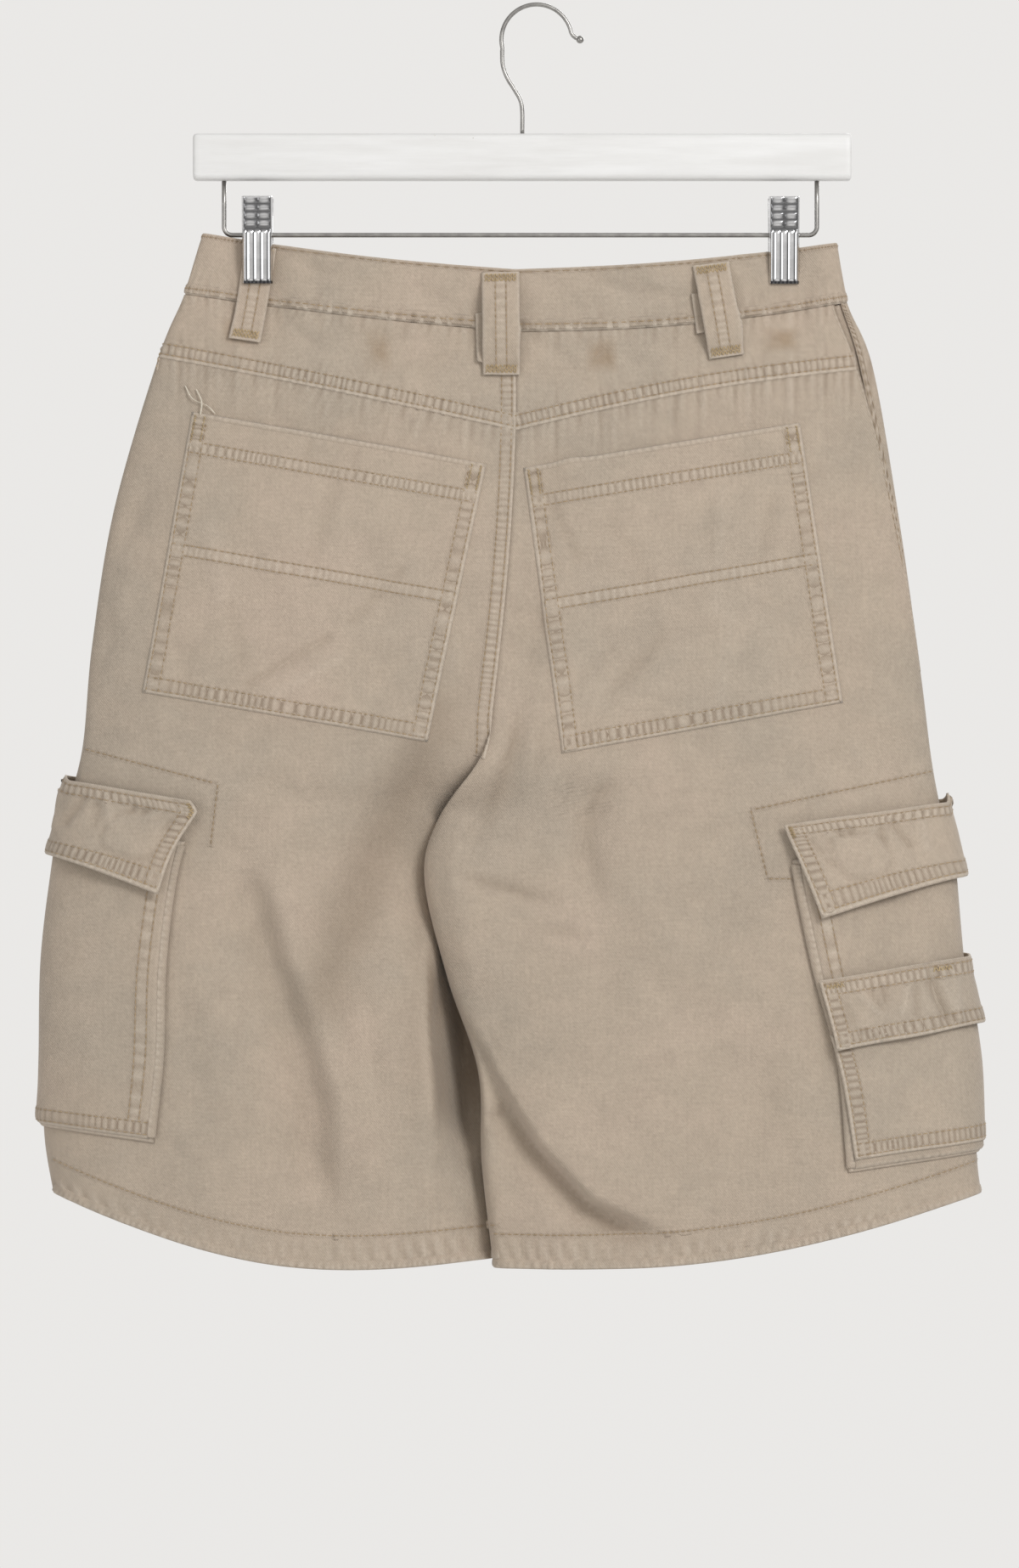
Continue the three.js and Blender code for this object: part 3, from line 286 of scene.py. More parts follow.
# Soft creases on the left and the right back pocket: two ends from the top left corner, height, width
POCKET_CREASES = (
    (((58, 140), (96, 108), -1.5, 2.6), ((70, 146), (104, 118), 1.2, 3.5), ((108, 96), (128, 66), -1.2, 3.0),
     ((20, 60), (34, 96), 0.9, 6.0), ((84, 24), (80, 66), -0.8, 4.0), ((40, 100), (52, 128), -0.8, 4.0),
     ((66, 6), (65, 15), -1.0, 1.5), ((92, 6), (91, 15), -0.8, 1.3)),
    (((12, 20), (22, 52), -1.2, 3.0), ((104, 30), (92, 92), 0.9, 3.0), ((98, 100), (88, 140), 0.9, 4.0),
     ((130, 40), (118, 78), -0.9, 4.0), ((30, 128), (60, 104), -0.9, 4.0), ((44, 40), (60, 76), -0.7, 5.0)),
)
# Creases on the flaps: two ends from the top of the back edge, height, width
FLAP_CREASES = (
    ((20, 10), (27, 22), 1.8, 1.8), ((46, 10), (39, 25), 1.7, 1.7), ((57, 10), (61, 30), -2.0, 2.2),
    ((10, 14), (15, 34), -1.5, 2.0), ((33, 9), (33, 17), -2.0, 1.6), ((26, 10), (30, 20), -1.6, 1.5),
    ((50, 12), (46, 28), -1.6, 1.6), ((14, 28), (30, 36), 1.2, 1.8), ((72, 10), (68, 34), 1.6, 2.6),
    ((98, 10), (104, 36), -1.6, 2.8), ((128, 10), (122, 34), 1.6, 2.8), ((156, 10), (160, 36), -1.5, 2.6),
)
# The deep crease across the phone pocket's flap
PHONE_CREASES = (((59, 0), (62, 34), -2.2, 1.6), ((64, 0), (67, 34), 1.6, 2.4))
# Painted shade in the deep hollows and valleys: half, path, amount, widths left and right
HOLLOW_PAINTED_SHADE = (
    (LEFT, ((-50, -500), (-50.5, -519), (-50, -548), (-46.5, -585), (-44.6, -618)), 0.8, 1.2, 12),
    (LEFT, ((-46, -512), (-42, -532), (-34, -552), (-28, -570), (-28, -590), (-34, -606)), 0.8, 6, 10),
    (LEFT, ((-116, -560), (-98, -505), (-83, -470), (-66, -430), (-50, -396), (-50, -352)), 0.5, 16, 13),
    (LEFT, ((-149, -480), (-140, -512), (-124, -553), (-113, -592), (-115, -640)), 0.12, 10, 5),
    (LEFT, ((-58, -480), (-57, -540), (-55, -600)), 0.2, 8, 4),
    (
        RIGHT, ((-14, -588), (-4.6, -603), (5, -617), (19, -632), (33, -647), (50, -659), (78, -667)),
        0.62, 6, 1.6,
    ),
    (RIGHT, ((-3, -372), (-6, -400), (-14, -424), (-26, -448)), 0.5, 1.6, 3.5),
    (RIGHT, ((-15, -384), (-20, -402), (-27, -424)), 0.4, 1.5, 3),
    (RIGHT, ((-42, -469), (-8, -478), (22, -486)), 0.22, 1.6, 4),
    (RIGHT, ((57, -415), (38, -428), (31, -450), (35, -470)), 0.2, 1.6, 5),
    (RIGHT, ((6, -376), (10, -404), (6, -430)), 0.2, 2, 4),
)

# Tones of the cloth, and the faded marks on the yoke: x, z and half sizes
KHAKI = (0.428, 0.352, 0.277)
KHAKI_PINK = (0.456, 0.368, 0.292)
KHAKI_GREY = (0.398, 0.334, 0.266)
# The pale tone of real wear on edges and of painted highlights on ridges
WEAR_AND_HIGHLIGHT_TONE = (0.660, 0.585, 0.492)
# The dark tone of painted shade in hollows, seam grooves and between puckers
PAINTED_SHADE_TONE = (0.185, 0.132, 0.088)
STAIN_TONE = (0.76, 0.69, 0.61)
STAINS = ((-78, -186, 8, 12), (43, -189, 9, 10), (140, -181, 10, 7), (-155, -176, 8, 8))

# The hanger: a board, a bent wire for the hook, a rod below, and four pressed jaws
BAR = {"length": 356.5, "height": 25.3, "thick": 14.0, "top": -69.0, "corner": 3.4, "end": 2.0}
HOOK = {"wire": 1.15, "bend": 19.1, "ball": 2.1}
HOOK_STEM = ((0, -68.7), (0, -57), (-0.9, -51), (-4.2, -45), (-8.2, -38.5), (-10.6, -31.5), (-10.9, -24))
ROD = {"left": -161.5, "right": 159.6, "top": -94.5, "level": -123.8, "corner": 4.5, "wire": 1.25}
# Distance of a jaw's face from its foot, and height
CLIP_BENDS = ((0, -150.4), (0.6, -146), (2.4, -137), (3.4, -128), (3.6, -121), (5, -113), (7.4, -103.5))
CLIP_WIDTH = 16.6
# Jaws: half, side, the way it faces, distance of its foot from the middle, half the ears' width
JAWS = (
    (LEFT, "front", -1, 7.4, 7.8),
    (LEFT, "back", 1, 4.3, 6.3),
    (RIGHT, "front", -1, 4.3, 7.8),
    (RIGHT, "back", 1, 4.3, 6.3),
)
# Two pale thread ends at the top corner of the left pocket
THREAD_ENDS = (
    ((-182, -206), (-178, -213), (-170, -217), (-166, -221)),
    ((-176, -208), (-173, -215), (-174, -223)),
)

# The pale room is brightest above and in front of the shorts, and even behind them
LIT_FROM = (0.12, -0.78, 0.61)
ROOM_TONE = (1.0, 0.985, 0.965)
ROOM = ((0.0, 0.58), (0.22, 0.58), (0.42, 0.25), (0.62, 0.28), (0.82, 0.42), (1.0, 0.54))
ROOM_STRENGTH = 1.42
# Lamps: name, place, width and height, power. All of them face the middle of the shorts.
LAMPS = (
    ("key", (1.35, -2.2, 0.75), 0.9, 34),
    ("fill", (-2.2, -2.1, -0.5), 1.5, 12),
    ("rear", (0.8, 2.4, 0.8), 1.2, 26),
)
LAMPS_FACE = (0, 0, -0.4)
FLOOR_DEPTH = -1.1


def smoothstep(value, low, high):
    t = np.clip((value - low) / (high - low), 0, 1)
    return t * t * (3 - 2 * t)


def smooth_columns():
    """Every column of the sections on a smooth curve, at FINE_ROWS steps a row."""
    last = SECTIONS.shape[1] - 1
    row = np.linspace(0, last, last * FINE_ROWS + 1)
    index = np.minimum(row.astype(int), last - 1)
    t = (row - index)[None, :, None]
    before = SECTIONS[:, np.maximum(index - 1, 0)]
    start = SECTIONS[:, index]
    end = SECTIONS[:, index + 1]
    after = SECTIONS[:, np.minimum(index + 2, last)]
    t2, t3 = t * t, t * t * t
    return (
        (2 * t3 - 3 * t2 + 1) * start
        + (t3 - 2 * t2 + t) * (end - before) / 2
        + (3 * t2 - 2 * t3) * end
        + (t3 - t2) * (after - start) / 2
    )


FINE_COLUMNS = smooth_columns()


def column(name, side, row):
    """A section column's value at any row."""
    place = np.clip(row, 0, HEM) * FINE_ROWS
    index = np.minimum(place.astype(int), HEM * FINE_ROWS - 1)
    k = COLUMNS.index(name)
    start = FINE_COLUMNS[side, index, k]
    return start + (FINE_COLUMNS[side, index + 1, k] - start) * (place - index)


def along_path(path, x, z):
    """Distance to a path, whether it is to the right, and how far along the nearest point is."""
    best = np.full(x.shape, 1e9)
    right = np.ones(x.shape, bool)
    travelled = np.zeros(x.shape)
    total = 0.0
    for (ax, az), (bx, bz) in zip(path, path[1:]):
        length = math.hypot(bx - ax, bz - az)
        part = np.clip(((x - ax) * (bx - ax) + (z - az) * (bz - az)) / length**2, 0, 1)
        dx = x - (ax + part * (bx - ax))
        dz = z - (az + part * (bz - az))
        distance = np.hypot(dx, dz)
        nearer = distance < best
        best = np.where(nearer, distance, best)
        right = np.where(nearer, (bx - ax) * dz - (bz - az) * dx >= 0, right)
        travelled = np.where(nearer, total + part * length, travelled)
        total += length
    return best, right, travelled, total


def fold_height(side, back, across, sine, row, x, z):
    """How far the folds and creases stand out."""
    height = np.zeros(x.shape)
    for half, face, path, depth, left_width, right_width in FOLDS:
        on_face = back if face == "back" else ~back
        chosen = on_face if half == BOTH else on_face & (side == half)
        reach = 3 * max(left_width, right_width)
        xs = [p[0] for p in path]
        zs = [p[1] for p in path]
        chosen = chosen & (x > min(xs) - reach) & (x < max(xs) + reach)
        chosen &= (z > min(zs) - reach) & (z < max(zs) + reach)
        if not chosen.any():
            continue
        distance, right, travelled, total = along_path(path, x[chosen], z[chosen])
        fade = min(FOLD_FADE, total / 2)
        strength = 0.25 + 0.75 * smoothstep(np.minimum(travelled, total - travelled), 0, fade)
        width = np.where(right, right_width, left_width)
        near_seam = np.ones(distance.shape)
        if half != BOTH:
            near_seam = np.where(row[chosen] > FORK, 1.0, smoothstep(across[chosen], 0, 0.08))
        height[chosen] += depth * np.exp(-((distance / width) ** 2)) * strength * near_seam
    return height * smoothstep(np.abs(sine), 0, 0.45)


def ripple_height(x, z, sine):
    height = np.zeros(x.shape)
    for amount, over_x, over_z, phase in RIPPLES:
        height += amount * np.sin(x / over_x + z / over_z + phase)
    return height * smoothstep(np.abs(sine), 0, 0.45) * smoothstep(-z, 175, 250)


def hem_rope(x, z, row):
    """The slanting puckers of a washed hem, from -1 to 1."""
    rope = np.sin(2 * math.pi * (x + 0.35 * z) / 8.3 + 1.2 * np.sin(x / 23) + 0.7 * np.sin(x / 9.7))
    strength = 0.7 + 0.3 * np.sin(x / 19 + 2 * np.sin(x / 47))
    return rope * strength * smoothstep(row, 10.60, 10.72)


def hem_waves(x, row):
    """The slow waves toward the hem."""
    return 0.9 * np.sin(x / 12.5 + 1.3 * np.sin(x / 40)) * smoothstep(row, 9.6, 11)


def seam_puckers(x, row, back):
    """Short upright gathers on both sides of the waistband seam and the yoke seam."""
    gathers = np.sin(2 * math.pi * x / 5.3 + 1.7 * np.sin(x / 9.1)) + 0.6 * np.sin(x / 1.9 + np.sin(x / 17))
    reach = 0.19 + 0.09 * np.sin(x / 3.1 + 2 * np.sin(x / 13))
    near_band = np.exp(-(((row - BAND) / reach) ** 2))
    near_yoke = np.exp(-(((row - YOKE) / reach) ** 2)) * back
    return gathers * (0.9 * near_band + near_yoke)


def cloth(side, around, row, fine=True):
    """Points of the cloth's outer face. around runs from centre back round the side to centre front.
    Without fine it leaves out the small puckers, which pieces lying on the cloth don't follow."""
    side, around, row = np.broadcast_arrays(side, np.asarray(around, float), np.asarray(row, float))
    start = np.clip(column("open", side, row), 0, 1) * math.pi / 2
    angle = start + (2 * math.pi - 2 * start) * around
    across = (np.cos(start) - np.cos(angle)) / (np.cos(start) + 1)
    sine = np.sin(angle)
    back = sine >= 0
    outward = np.where(back, -1.0, 1.0)
    centre_x = column("centre_x", side, row)
    x = centre_x + (column("side_x", side, row) - centre_x) * across
    drop = np.where(back, 0, column("front_drop", side, row) * np.cos(math.pi / 2 * across) ** 2)
    centre_z, side_z = column("centre_z", side, row), column("side_z", side, row)
    z = centre_z + (side_z - centre_z) * across - column("sag", side, row) * np.sin(math.pi * across) - drop
    depth = column("half_depth", side, row) * np.abs(sine) ** column("edge", side, row)
    near_clip = np.exp(-(((x - CLIP_X[side]) / PINCH_WIDTH) ** 4))
    pinch = near_clip * (1 - smoothstep(row, PINCH_ROW, PINCH_GONE))
    depth = depth + (np.minimum(depth, PINCH_DEPTH) - depth) * pinch
    depth = depth + fold_height(side, back, across, sine, row, x, z) + ripple_height(x, z, sine)
    depth = depth + hem_waves(x, row) * smoothstep(np.abs(sine), 0, 0.5)
    if fine:
        puckers = PUCKER_HEIGHT * seam_puckers(x, row, back) + ROPE_HEIGHT * hem_rope(x, z, row)
        depth = depth + puckers * smoothstep(np.abs(sine), 0, 0.4)
    inner = smoothstep(row, CROTCH - 0.6, FORK) * np.exp(-((np.abs(x - centre_x) / LEG_LAP["fade"]) ** 2))
    y = column("middle_y", side, row) + outward * depth + LEG_LAP["y"][side] * inner
    return np.stack([x + LEG_LAP["x"][side] * inner, y, z], axis=-1)


def lifted(side, around, row, lift, fine=True):
    """The same points moved out along the smooth cloth's normal."""
    side, around, row, lift = np.broadcast_arrays(np.asarray(side), around, row, lift)
    step = np.where(around > 0.5, -0.004, 0.004)
    row_step = np.where(row > 5, -0.04, 0.04)
    smooth = cloth(side, around, row, fine=False)
    point = cloth(side, around, row) if fine else smooth
    ahead = (cloth(side, around + step, row, fine=False) - smooth) * np.sign(step)[..., None]
    below = (cloth(side, around, row + row_step, fine=False) - smooth) * np.sign(row_step)[..., None]
    normal = np.cross(ahead, below)
    normal /= np.linalg.norm(normal, axis=-1, keepdims=True) + 1e-9
    return point - SIDE_SIGNS[side][..., None] * normal * lift[..., None]


def locate_on(side, back, x, z):
    """The around and row of the cloth seen at x, z on one half."""
    high, low = np.zeros(x.shape), np.full(x.shape, float(HEM))
    for _ in range(15):
        middle = (high + low) / 2
        centre_x, centre_z = column("centre_x", side, middle), column("centre_z", side, middle)
        across = (x - centre_x) / (column("side_x", side, middle) - centre_x)
        drop = 0 if back else column("front_drop", side, middle) * np.cos(math.pi / 2 * across) ** 2
        line = centre_z + (column("side_z", side, middle) - centre_z) * across
        height = line - column("sag", side, middle) * np.sin(math.pi * np.clip(across, 0, 1)) - drop
        high = np.where(height > z, middle, high)
        low = np.where(height > z, low, middle)
    row = (high + low) / 2
    centre_x = column("centre_x", side, row)
    across = (x - centre_x) / (column("side_x", side, row) - centre_x)
    start = np.clip(column("open", side, row), 0, 1) * math.pi / 2
    cosine = np.cos(start) - np.clip(across, 0, 1) * (np.cos(start) + 1)
    around = (np.arccos(np.clip(cosine, -1, 1)) - start) / (2 * math.pi - 2 * start)
    return (around if back else 1 - around), row, across


def seen_at(back, x, z):
    """The side, around and row of the cloth seen at x, z on the back or the front."""
    left_around, left_row, left_across = locate_on(np.zeros(x.shape, int), back, x, z)
    right_around, right_row, _ = locate_on(np.ones(x.shape, int), back, x, z)
    on_left = left_across >= 0
    side = np.where(on_left, LEFT, RIGHT)
    return side, np.where(on_left, left_around, right_around), np.where(on_left, left_row, right_row)


def on_face(face):
    """A surface that takes x, z and a lift, on the back or the front of the shorts."""

    def at(x, z, lift):
        x, z, lift = np.broadcast_arrays(np.asarray(x, float), z, lift)
        return lifted(*seen_at(face == "back", x, z), lift)

    return at


class Patch:
    """A sewn-on piece. to_cloth turns parts across and down it into side, around and row."""

    def __init__(self, to_cloth, width, height, lift):
        self.to_cloth = to_cloth
        self.width = width
        self.height = height
        self.lift = lift

    def at(self, a, b, lift):
        a, b, lift = np.broadcast_arrays(np.asarray(a, float), b, lift)
        s, t = a / self.width, b / self.height
        side, around, row = self.to_cloth(s, t)
        return lifted(side, around, row, self.lift(a, b) + lift, fine=False)

    def edge_distance(self, a, b):
        return np.minimum(np.minimum(a, self.width - a), np.minimum(b, self.height - b))


def quad_patch(face, corners, lift=None):
    """A flat-cut piece on one face, given by its four corners."""
    top_left, top_right, bottom_right, bottom_left = (np.array(c, float) for c in corners)
    width = np.linalg.norm(top_right - top_left)
    height = np.linalg.norm(bottom_left - top_left)

    def to_cloth(s, t):
        s, t = s[..., None], t[..., None]
        top = top_left * (1 - s) + top_right * s
        low = bottom_left * (1 - s) + bottom_right * s
        point = top * (1 - t) + low * t
        return seen_at(face == "back", point[..., 0], point[..., 1])

    return Patch(to_cloth, width, height, lift)


def side_patch(side, shape, lift=None):
    """A piece that runs from the back, round the side, to the front of one leg."""
    on_the_back, on_the_outline, on_the_front = shape

    def edge(k):
        x_side = SIDE_SIGNS[side] * OUTSIDE
        steps = 24
        back_x = np.linspace(on_the_back[k][0], x_side, steps)
        back_z = np.linspace(on_the_back[k][1], on_the_outline[k], steps)
        front_x = np.linspace(x_side, on_the_front[k][0], steps)
        front_z = np.linspace(on_the_outline[k], on_the_front[k][1], steps)
        sides = np.full(steps, side)
        back_around, back_row, _ = locate_on(sides, True, back_x, back_z)
        front_around, front_row, _ = locate_on(sides, False, front_x, front_z)
        around = np.concatenate([back_around, front_around])
        row = np.concatenate([back_row, front_row])
        around, keep = np.unique(around, return_index=True)
        row = row[keep]
        points = cloth(side, around, row)
        lengths = np.linalg.norm(np.diff(points, axis=0), axis=1)
        travelled = np.concatenate([[0], np.cumsum(lengths)])
        return around, row, travelled

    top_around, top_row, top_run = edge(0)
    low_around, low_row, low_run = edge(1)
    width = (top_run[-1] + low_run[-1]) / 2
    down = cloth(side, np.array([top_around[0], low_around[0]]), np.array([top_row[0], low_row[0]]))
    height = float(np.linalg.norm(down[1] - down[0]))

    def to_cloth(s, t):
        top_s = np.clip(s, 0, 1) * top_run[-1]
        low_s = np.clip(s, 0, 1) * low_run[-1]
        around = np.interp(top_s, top_run, top_around) * (1 - t) + np.interp(low_s, low_run, low_around) * t
        row = np.interp(top_s, top_run, top_row) * (1 - t) + np.interp(low_s, low_run, low_row) * t
        beyond = np.where(s < 0, s, np.where(s > 1, s - 1, 0)) * 0.45
        return np.full(np.shape(s), side), around + beyond, row

    return Patch(to_cloth, width, height, lift)


def add_object(name, mesh):
    made = bpy.data.objects.new(name, mesh)
    bpy.context.scene.collection.objects.link(made)
    return made


def dress(piece, slot, *nodes):
    """Fixes a piece to the part and hides the solids that it stands for. slot, its material's name, is not
    used.
    """
    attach(piece, "root")
    if nodes:
        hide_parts(*nodes)


class Piece:
    """Grids of points that become one mesh, with real wear and painted highlights, and painted shade, kept at
    each point.
    """

    def __init__(self, name):
        self.name = name
        self.points = []
        self.faces = []
        self.wear_and_highlight = []
        self.shade = []
        self.count = 0

    def grid(self, points, above, wear_and_highlight=0.0, shade=0.0):
        """above is a point over the middle of the grid, on its outer side."""
        columns, rows = points.shape[:2]
        i, j = columns // 2, rows // 2
        normal = np.cross(points[i, j] - points[i - 1, j], points[i, j] - points[i, j - 1])
        flip = np.dot(normal, np.reshape(above, 3) - points[i, j]) < 0
        index = self.count + np.arange(columns * rows).reshape(columns, rows)
        corners = [index[:-1, :-1], index[1:, :-1], index[1:, 1:], index[:-1, 1:]]
        if flip:
            corners.reverse()
        self.faces.append(np.stack([c.ravel() for c in corners], axis=1))
        self.points.append(points.reshape(-1, 3))
        self.wear_and_highlight.append(np.broadcast_to(wear_and_highlight, (columns, rows)).ravel())
        self.shade.append(np.broadcast_to(shade, (columns, rows)).ravel())
        self.count += columns * rows

    def on_half(self, side, around, row, lift=0.0, wear_and_highlight=0.0, shade=0.0):
        """A grid on one half of the shorts, raised off its cloth by lift."""
        side, around, row, lift = np.broadcast_arrays(np.asarray(side), around, row, lift)
        i, j = around.shape[0] // 2, around.shape[1] // 2
        above = lifted(side[i, j : j + 1], around[i, j : j + 1], row[i, j : j + 1], lift[i, j : j + 1] + 1)
        points = lifted(side, around, row, lift) if np.any(lift) else cloth(side, around, row)
        x, z = points[..., 0], points[..., 2]
        gathers = seam_puckers(x, row, points[..., 1] < 0)
        rope = hem_rope(x, z, row)
        # Painted highlights on the ridges and painted shade in the valleys of the gathers and the hem's
        # puckers
        wear_and_highlight = wear_and_highlight + 0.24 * np.maximum(gathers, 0) + 0.42 * np.maximum(rope, 0)
        shade = shade + 0.32 * np.maximum(-gathers, 0) + 0.4 * np.maximum(-rope, 0)
        self.grid(points, above, np.clip(wear_and_highlight, 0, 1), np.clip(shade, 0, 1))

    def on_patch(self, patch, step, wear_edge=0.5, relief=None):
        """The whole of a sewn-on piece, with its edges rubbed pale. Where relief is given, its
        ridges get a painted highlight and its valleys get painted shade."""
        columns = max(int(patch.width / step), 4)
        rows = max(int(patch.height / step), 4)
        a = np.linspace(0, patch.width, columns)[:, None] * np.ones((1, rows))
        b = np.linspace(0, patch.height, rows)[None, :] * np.ones((columns, 1))
        edge = patch.edge_distance(a, b)
        wear_and_highlight = 0.05 + wear_edge * (1 - smoothstep(edge, 0.3, 1.6))
        i, j = columns // 2, rows // 2
        above = patch.at(a[i, j : j + 1], b[i, j : j + 1], 1.0)
        height = relief(a, b) if relief else 0 * a
        # Painted highlight on the relief's ridges, painted shade in its valleys
        wear_and_highlight = np.clip(wear_and_highlight + 0.13 * np.maximum(height, 0), 0, 1)
        shade = np.clip(-0.16 * height, 0, 0.5)
        self.grid(patch.at(a, b, np.where(edge < 0.2, -0.25, 0.0)), above, wear_and_highlight, shade)

    def build(self, material, slot, nodes=(), thickness=0.0):
        mesh = bpy.data.meshes.new(self.name)
        points = (np.concatenate(self.points) + np.array([STEM_X, 0, 0])) * MM
        faces = np.concatenate(self.faces)
        mesh.from_pydata(points.tolist(), [], faces.tolist())
        for attribute, values in (("wear_and_highlight", self.wear_and_highlight), ("shade", self.shade)):
            layer = mesh.attributes.new(attribute, "FLOAT", "POINT")
            layer.data.foreach_set("value", np.concatenate(values).astype(np.float32))
        mesh.polygons.foreach_set("use_smooth", np.ones(len(faces), bool))
        mesh.materials.append(material)
        mesh.update()
        piece = add_object(self.name, mesh)
        if thickness:
            solid = piece.modifiers.new("cloth_thickness", "SOLIDIFY")
            solid.thickness = thickness * MM
            solid.offset = -1
        dress(piece, slot, *nodes)
        return piece


def resample(path, step=PATH_STEP):
    """Even points along a smooth curve through a path, with their distances and left normals."""
    path = np.array(path, float)
    if len(path) > 2:
        fine = []
        padded = np.vstack([2 * path[0] - path[1], path, 2 * path[-1] - path[-2]])
        for p0, p1, p2, p3 in zip(padded, padded[1:], padded[2:], padded[3:]):
            t = np.linspace(0, 1, 14, endpoint=False)[:, None]
            rest = (2 * p0 - 5 * p1 + 4 * p2 - p3) * t**2
            fine.append(0.5 * (2 * p1 + (p2 - p0) * t + rest + (3 * p1 - p0 - 3 * p2 + p3) * t**3))
        path = np.vstack([*fine, path[-1:]])
    run = np.concatenate([[0], np.cumsum(np.linalg.norm(np.diff(path, axis=0), axis=1))])
    count = max(int(run[-1] / step), 2)
    at = np.linspace(0, run[-1], count + 1)
    points = np.stack([np.interp(at, run, path[:, k]) for k in (0, 1)], axis=1)
    tangent = np.gradient(points, axis=0)
    tangent /= np.linalg.norm(tangent, axis=1, keepdims=True) + 1e-9
    return points, at, np.stack([-tangent[:, 1], tangent[:, 0]], axis=1)


def pucker(run, seed=0.0, wavelength=3.7):
    """Uneven puckers along a seam, from -1 to 1."""
    phase = run / wavelength + 0.5 * np.sin(run / 14.3 + seed) + 0.35 * np.sin(run / 6.1 + 2 * seed)
    strength = 0.68 + 0.32 * np.sin(run / 16.0 + 3 * seed) * np.sin(run / 41.0 + seed)
    return (np.sin(2 * math.pi * phase) + 0.25 * np.sin(2 * math.pi * 2.3 * phase + seed)) * strength


# The corner points of all stitches, by the mesh that they end up in
THREADS = {"back": [], "front": [], "gold": []}


def sew(
    piece, surface, path, seam, where="back", base=0.0, mirror=False, seed=0.0, ladder=None, wave=3.7,
    stitched=True,
):
    """Lays a seam's raised band along a path on a surface, and its rows of stitches."""
    points, run, normal = resample(path)
    if mirror:
        normal = -normal
    profile = np.array(seam["profile"])
    amount = seam["ladder"] if ladder is None else ladder
    offsets = profile[:, 0][None, :]
    a = points[:, 0:1] + normal[:, 0:1] * offsets
    b = points[:, 1:2] + normal[:, 1:2] * offsets
    rows = seam["rows"]
    past_first = smoothstep(offsets, rows[0] - 1.2, rows[0] + 0.6)
    inside = past_first * (1 - smoothstep(offsets, rows[-1] - 0.6, rows[-1] + 2))
    if len(rows) == 1:
        inside = smoothstep(-np.abs(offsets), -2.4, -0.4)
    bumps = pucker(run, seed + points[0, 0] * 0.13, wave)[:, None]
    lift = profile[:, 1][None, :] + base + amount * bumps * inside
    # Wear on the folded edges with painted highlights on the puckers' ridges, and painted shade in the
    # grooves and between the puckers
    wear_and_highlight = np.clip(profile[:, 2][None, :] * (0.8 + 0.2 * bumps) + 0.35 * inside * np.maximum(bumps, 0), 0, 1)
    groove = min(amount / 0.3, 1.0) * 1.15
    shade = np.clip(profile[:, 3][None, :] + groove * inside * np.maximum(-bumps - 0.1, 0), 0, 1)
    if len(rows) == 1:
        wear_and_highlight, shade = wear_and_highlight * 0.6, np.clip(profile[:, 3][None, :] + 0.4 * inside * np.maximum(-bumps, 0), 0, 1)
    a, b, lift = np.broadcast_arrays(a, b, lift)
    i, j = a.shape[0] // 2, a.shape[1] // 2
    above = surface(a[i : i + 1, j], b[i : i + 1, j], lift[i : i + 1, j] + 1)
    piece.grid(surface(a, b, lift), above, wear_and_highlight, shade)
    if not stitched:
        return
    for offset in rows:
        height = float(np.interp(offset, profile[:, 0], profile[:, 1])) + base
        line = points + normal * offset
        THREADS[where].append(stitches(surface, line, height))


def thread_section(surface, spots, sideways, height):
    """Both edges and the raised middle of a thread at each spot."""
    low, high = spots - sideways, spots + sideways
    corners = [
        surface(low[:, 0], low[:, 1], height),
        surface(spots[:, 0], spots[:, 1], height + STITCH["crown"]),
        surface(high[:, 0], high[:, 1], height),
    ]
    return np.stack(corners, axis=1)


def stitches(surface, line, height):
    """Corner points of each stitch along a line: three cross-sections of a small thread."""
    steps = np.linalg.norm(np.diff(line, axis=0), axis=1)
    run = np.concatenate([[0], np.cumsum(steps)])
    pitch = STITCH["length"] + STITCH["gap"]
    starts = np.arange(0.4, run[-1] - STITCH["length"], pitch)
    if len(starts) == 0:
        return np.zeros((0, 3, 3, 3))
    tangent = np.gradient(line, axis=0)
    tangent /= np.linalg.norm(tangent, axis=1, keepdims=True) + 1e-9
    stations = []
    for part, rise in ((0.0, -0.15), (0.5, STITCH["height"]), (1.0, -0.15)):
        at = starts + part * STITCH["length"]
        p = np.stack([np.interp(at, run, line[:, k]) for k in (0, 1)], axis=1)
        t = np.stack([np.interp(at, run, tangent[:, k]) for k in (0, 1)], axis=1)
        side = np.stack([-t[:, 1], t[:, 0]], axis=1) * STITCH["half_width"]
        stations.append(thread_section(surface, p, side, height + rise))
    return np.stack(stations, axis=1)


def bar_tack(surface, start, end, length, height, bars=12):
    """A dense bar of short stitches between two points, each lying across the bar."""
    start, end = np.array(start, float), np.array(end, float)
    along = (end - start) / np.linalg.norm(end - start)
    across = np.array([-along[1], along[0]]) * length / 2
    for k in range(bars):
        middle = start + (end - start) * (k + 0.5) / bars
        lean = along * 0.35 * (1 if k % 2 else -1)
        line = np.linspace(middle - across - lean, middle + across + lean, 3)
        stations = []
        for j, rise in enumerate((0.0, 0.4, 0.0)):
            stations.append(thread_section(surface, line[j : j + 1], along * 0.3, height + rise))
        THREADS["gold"].append(np.stack(stations, axis=1))


# Materials

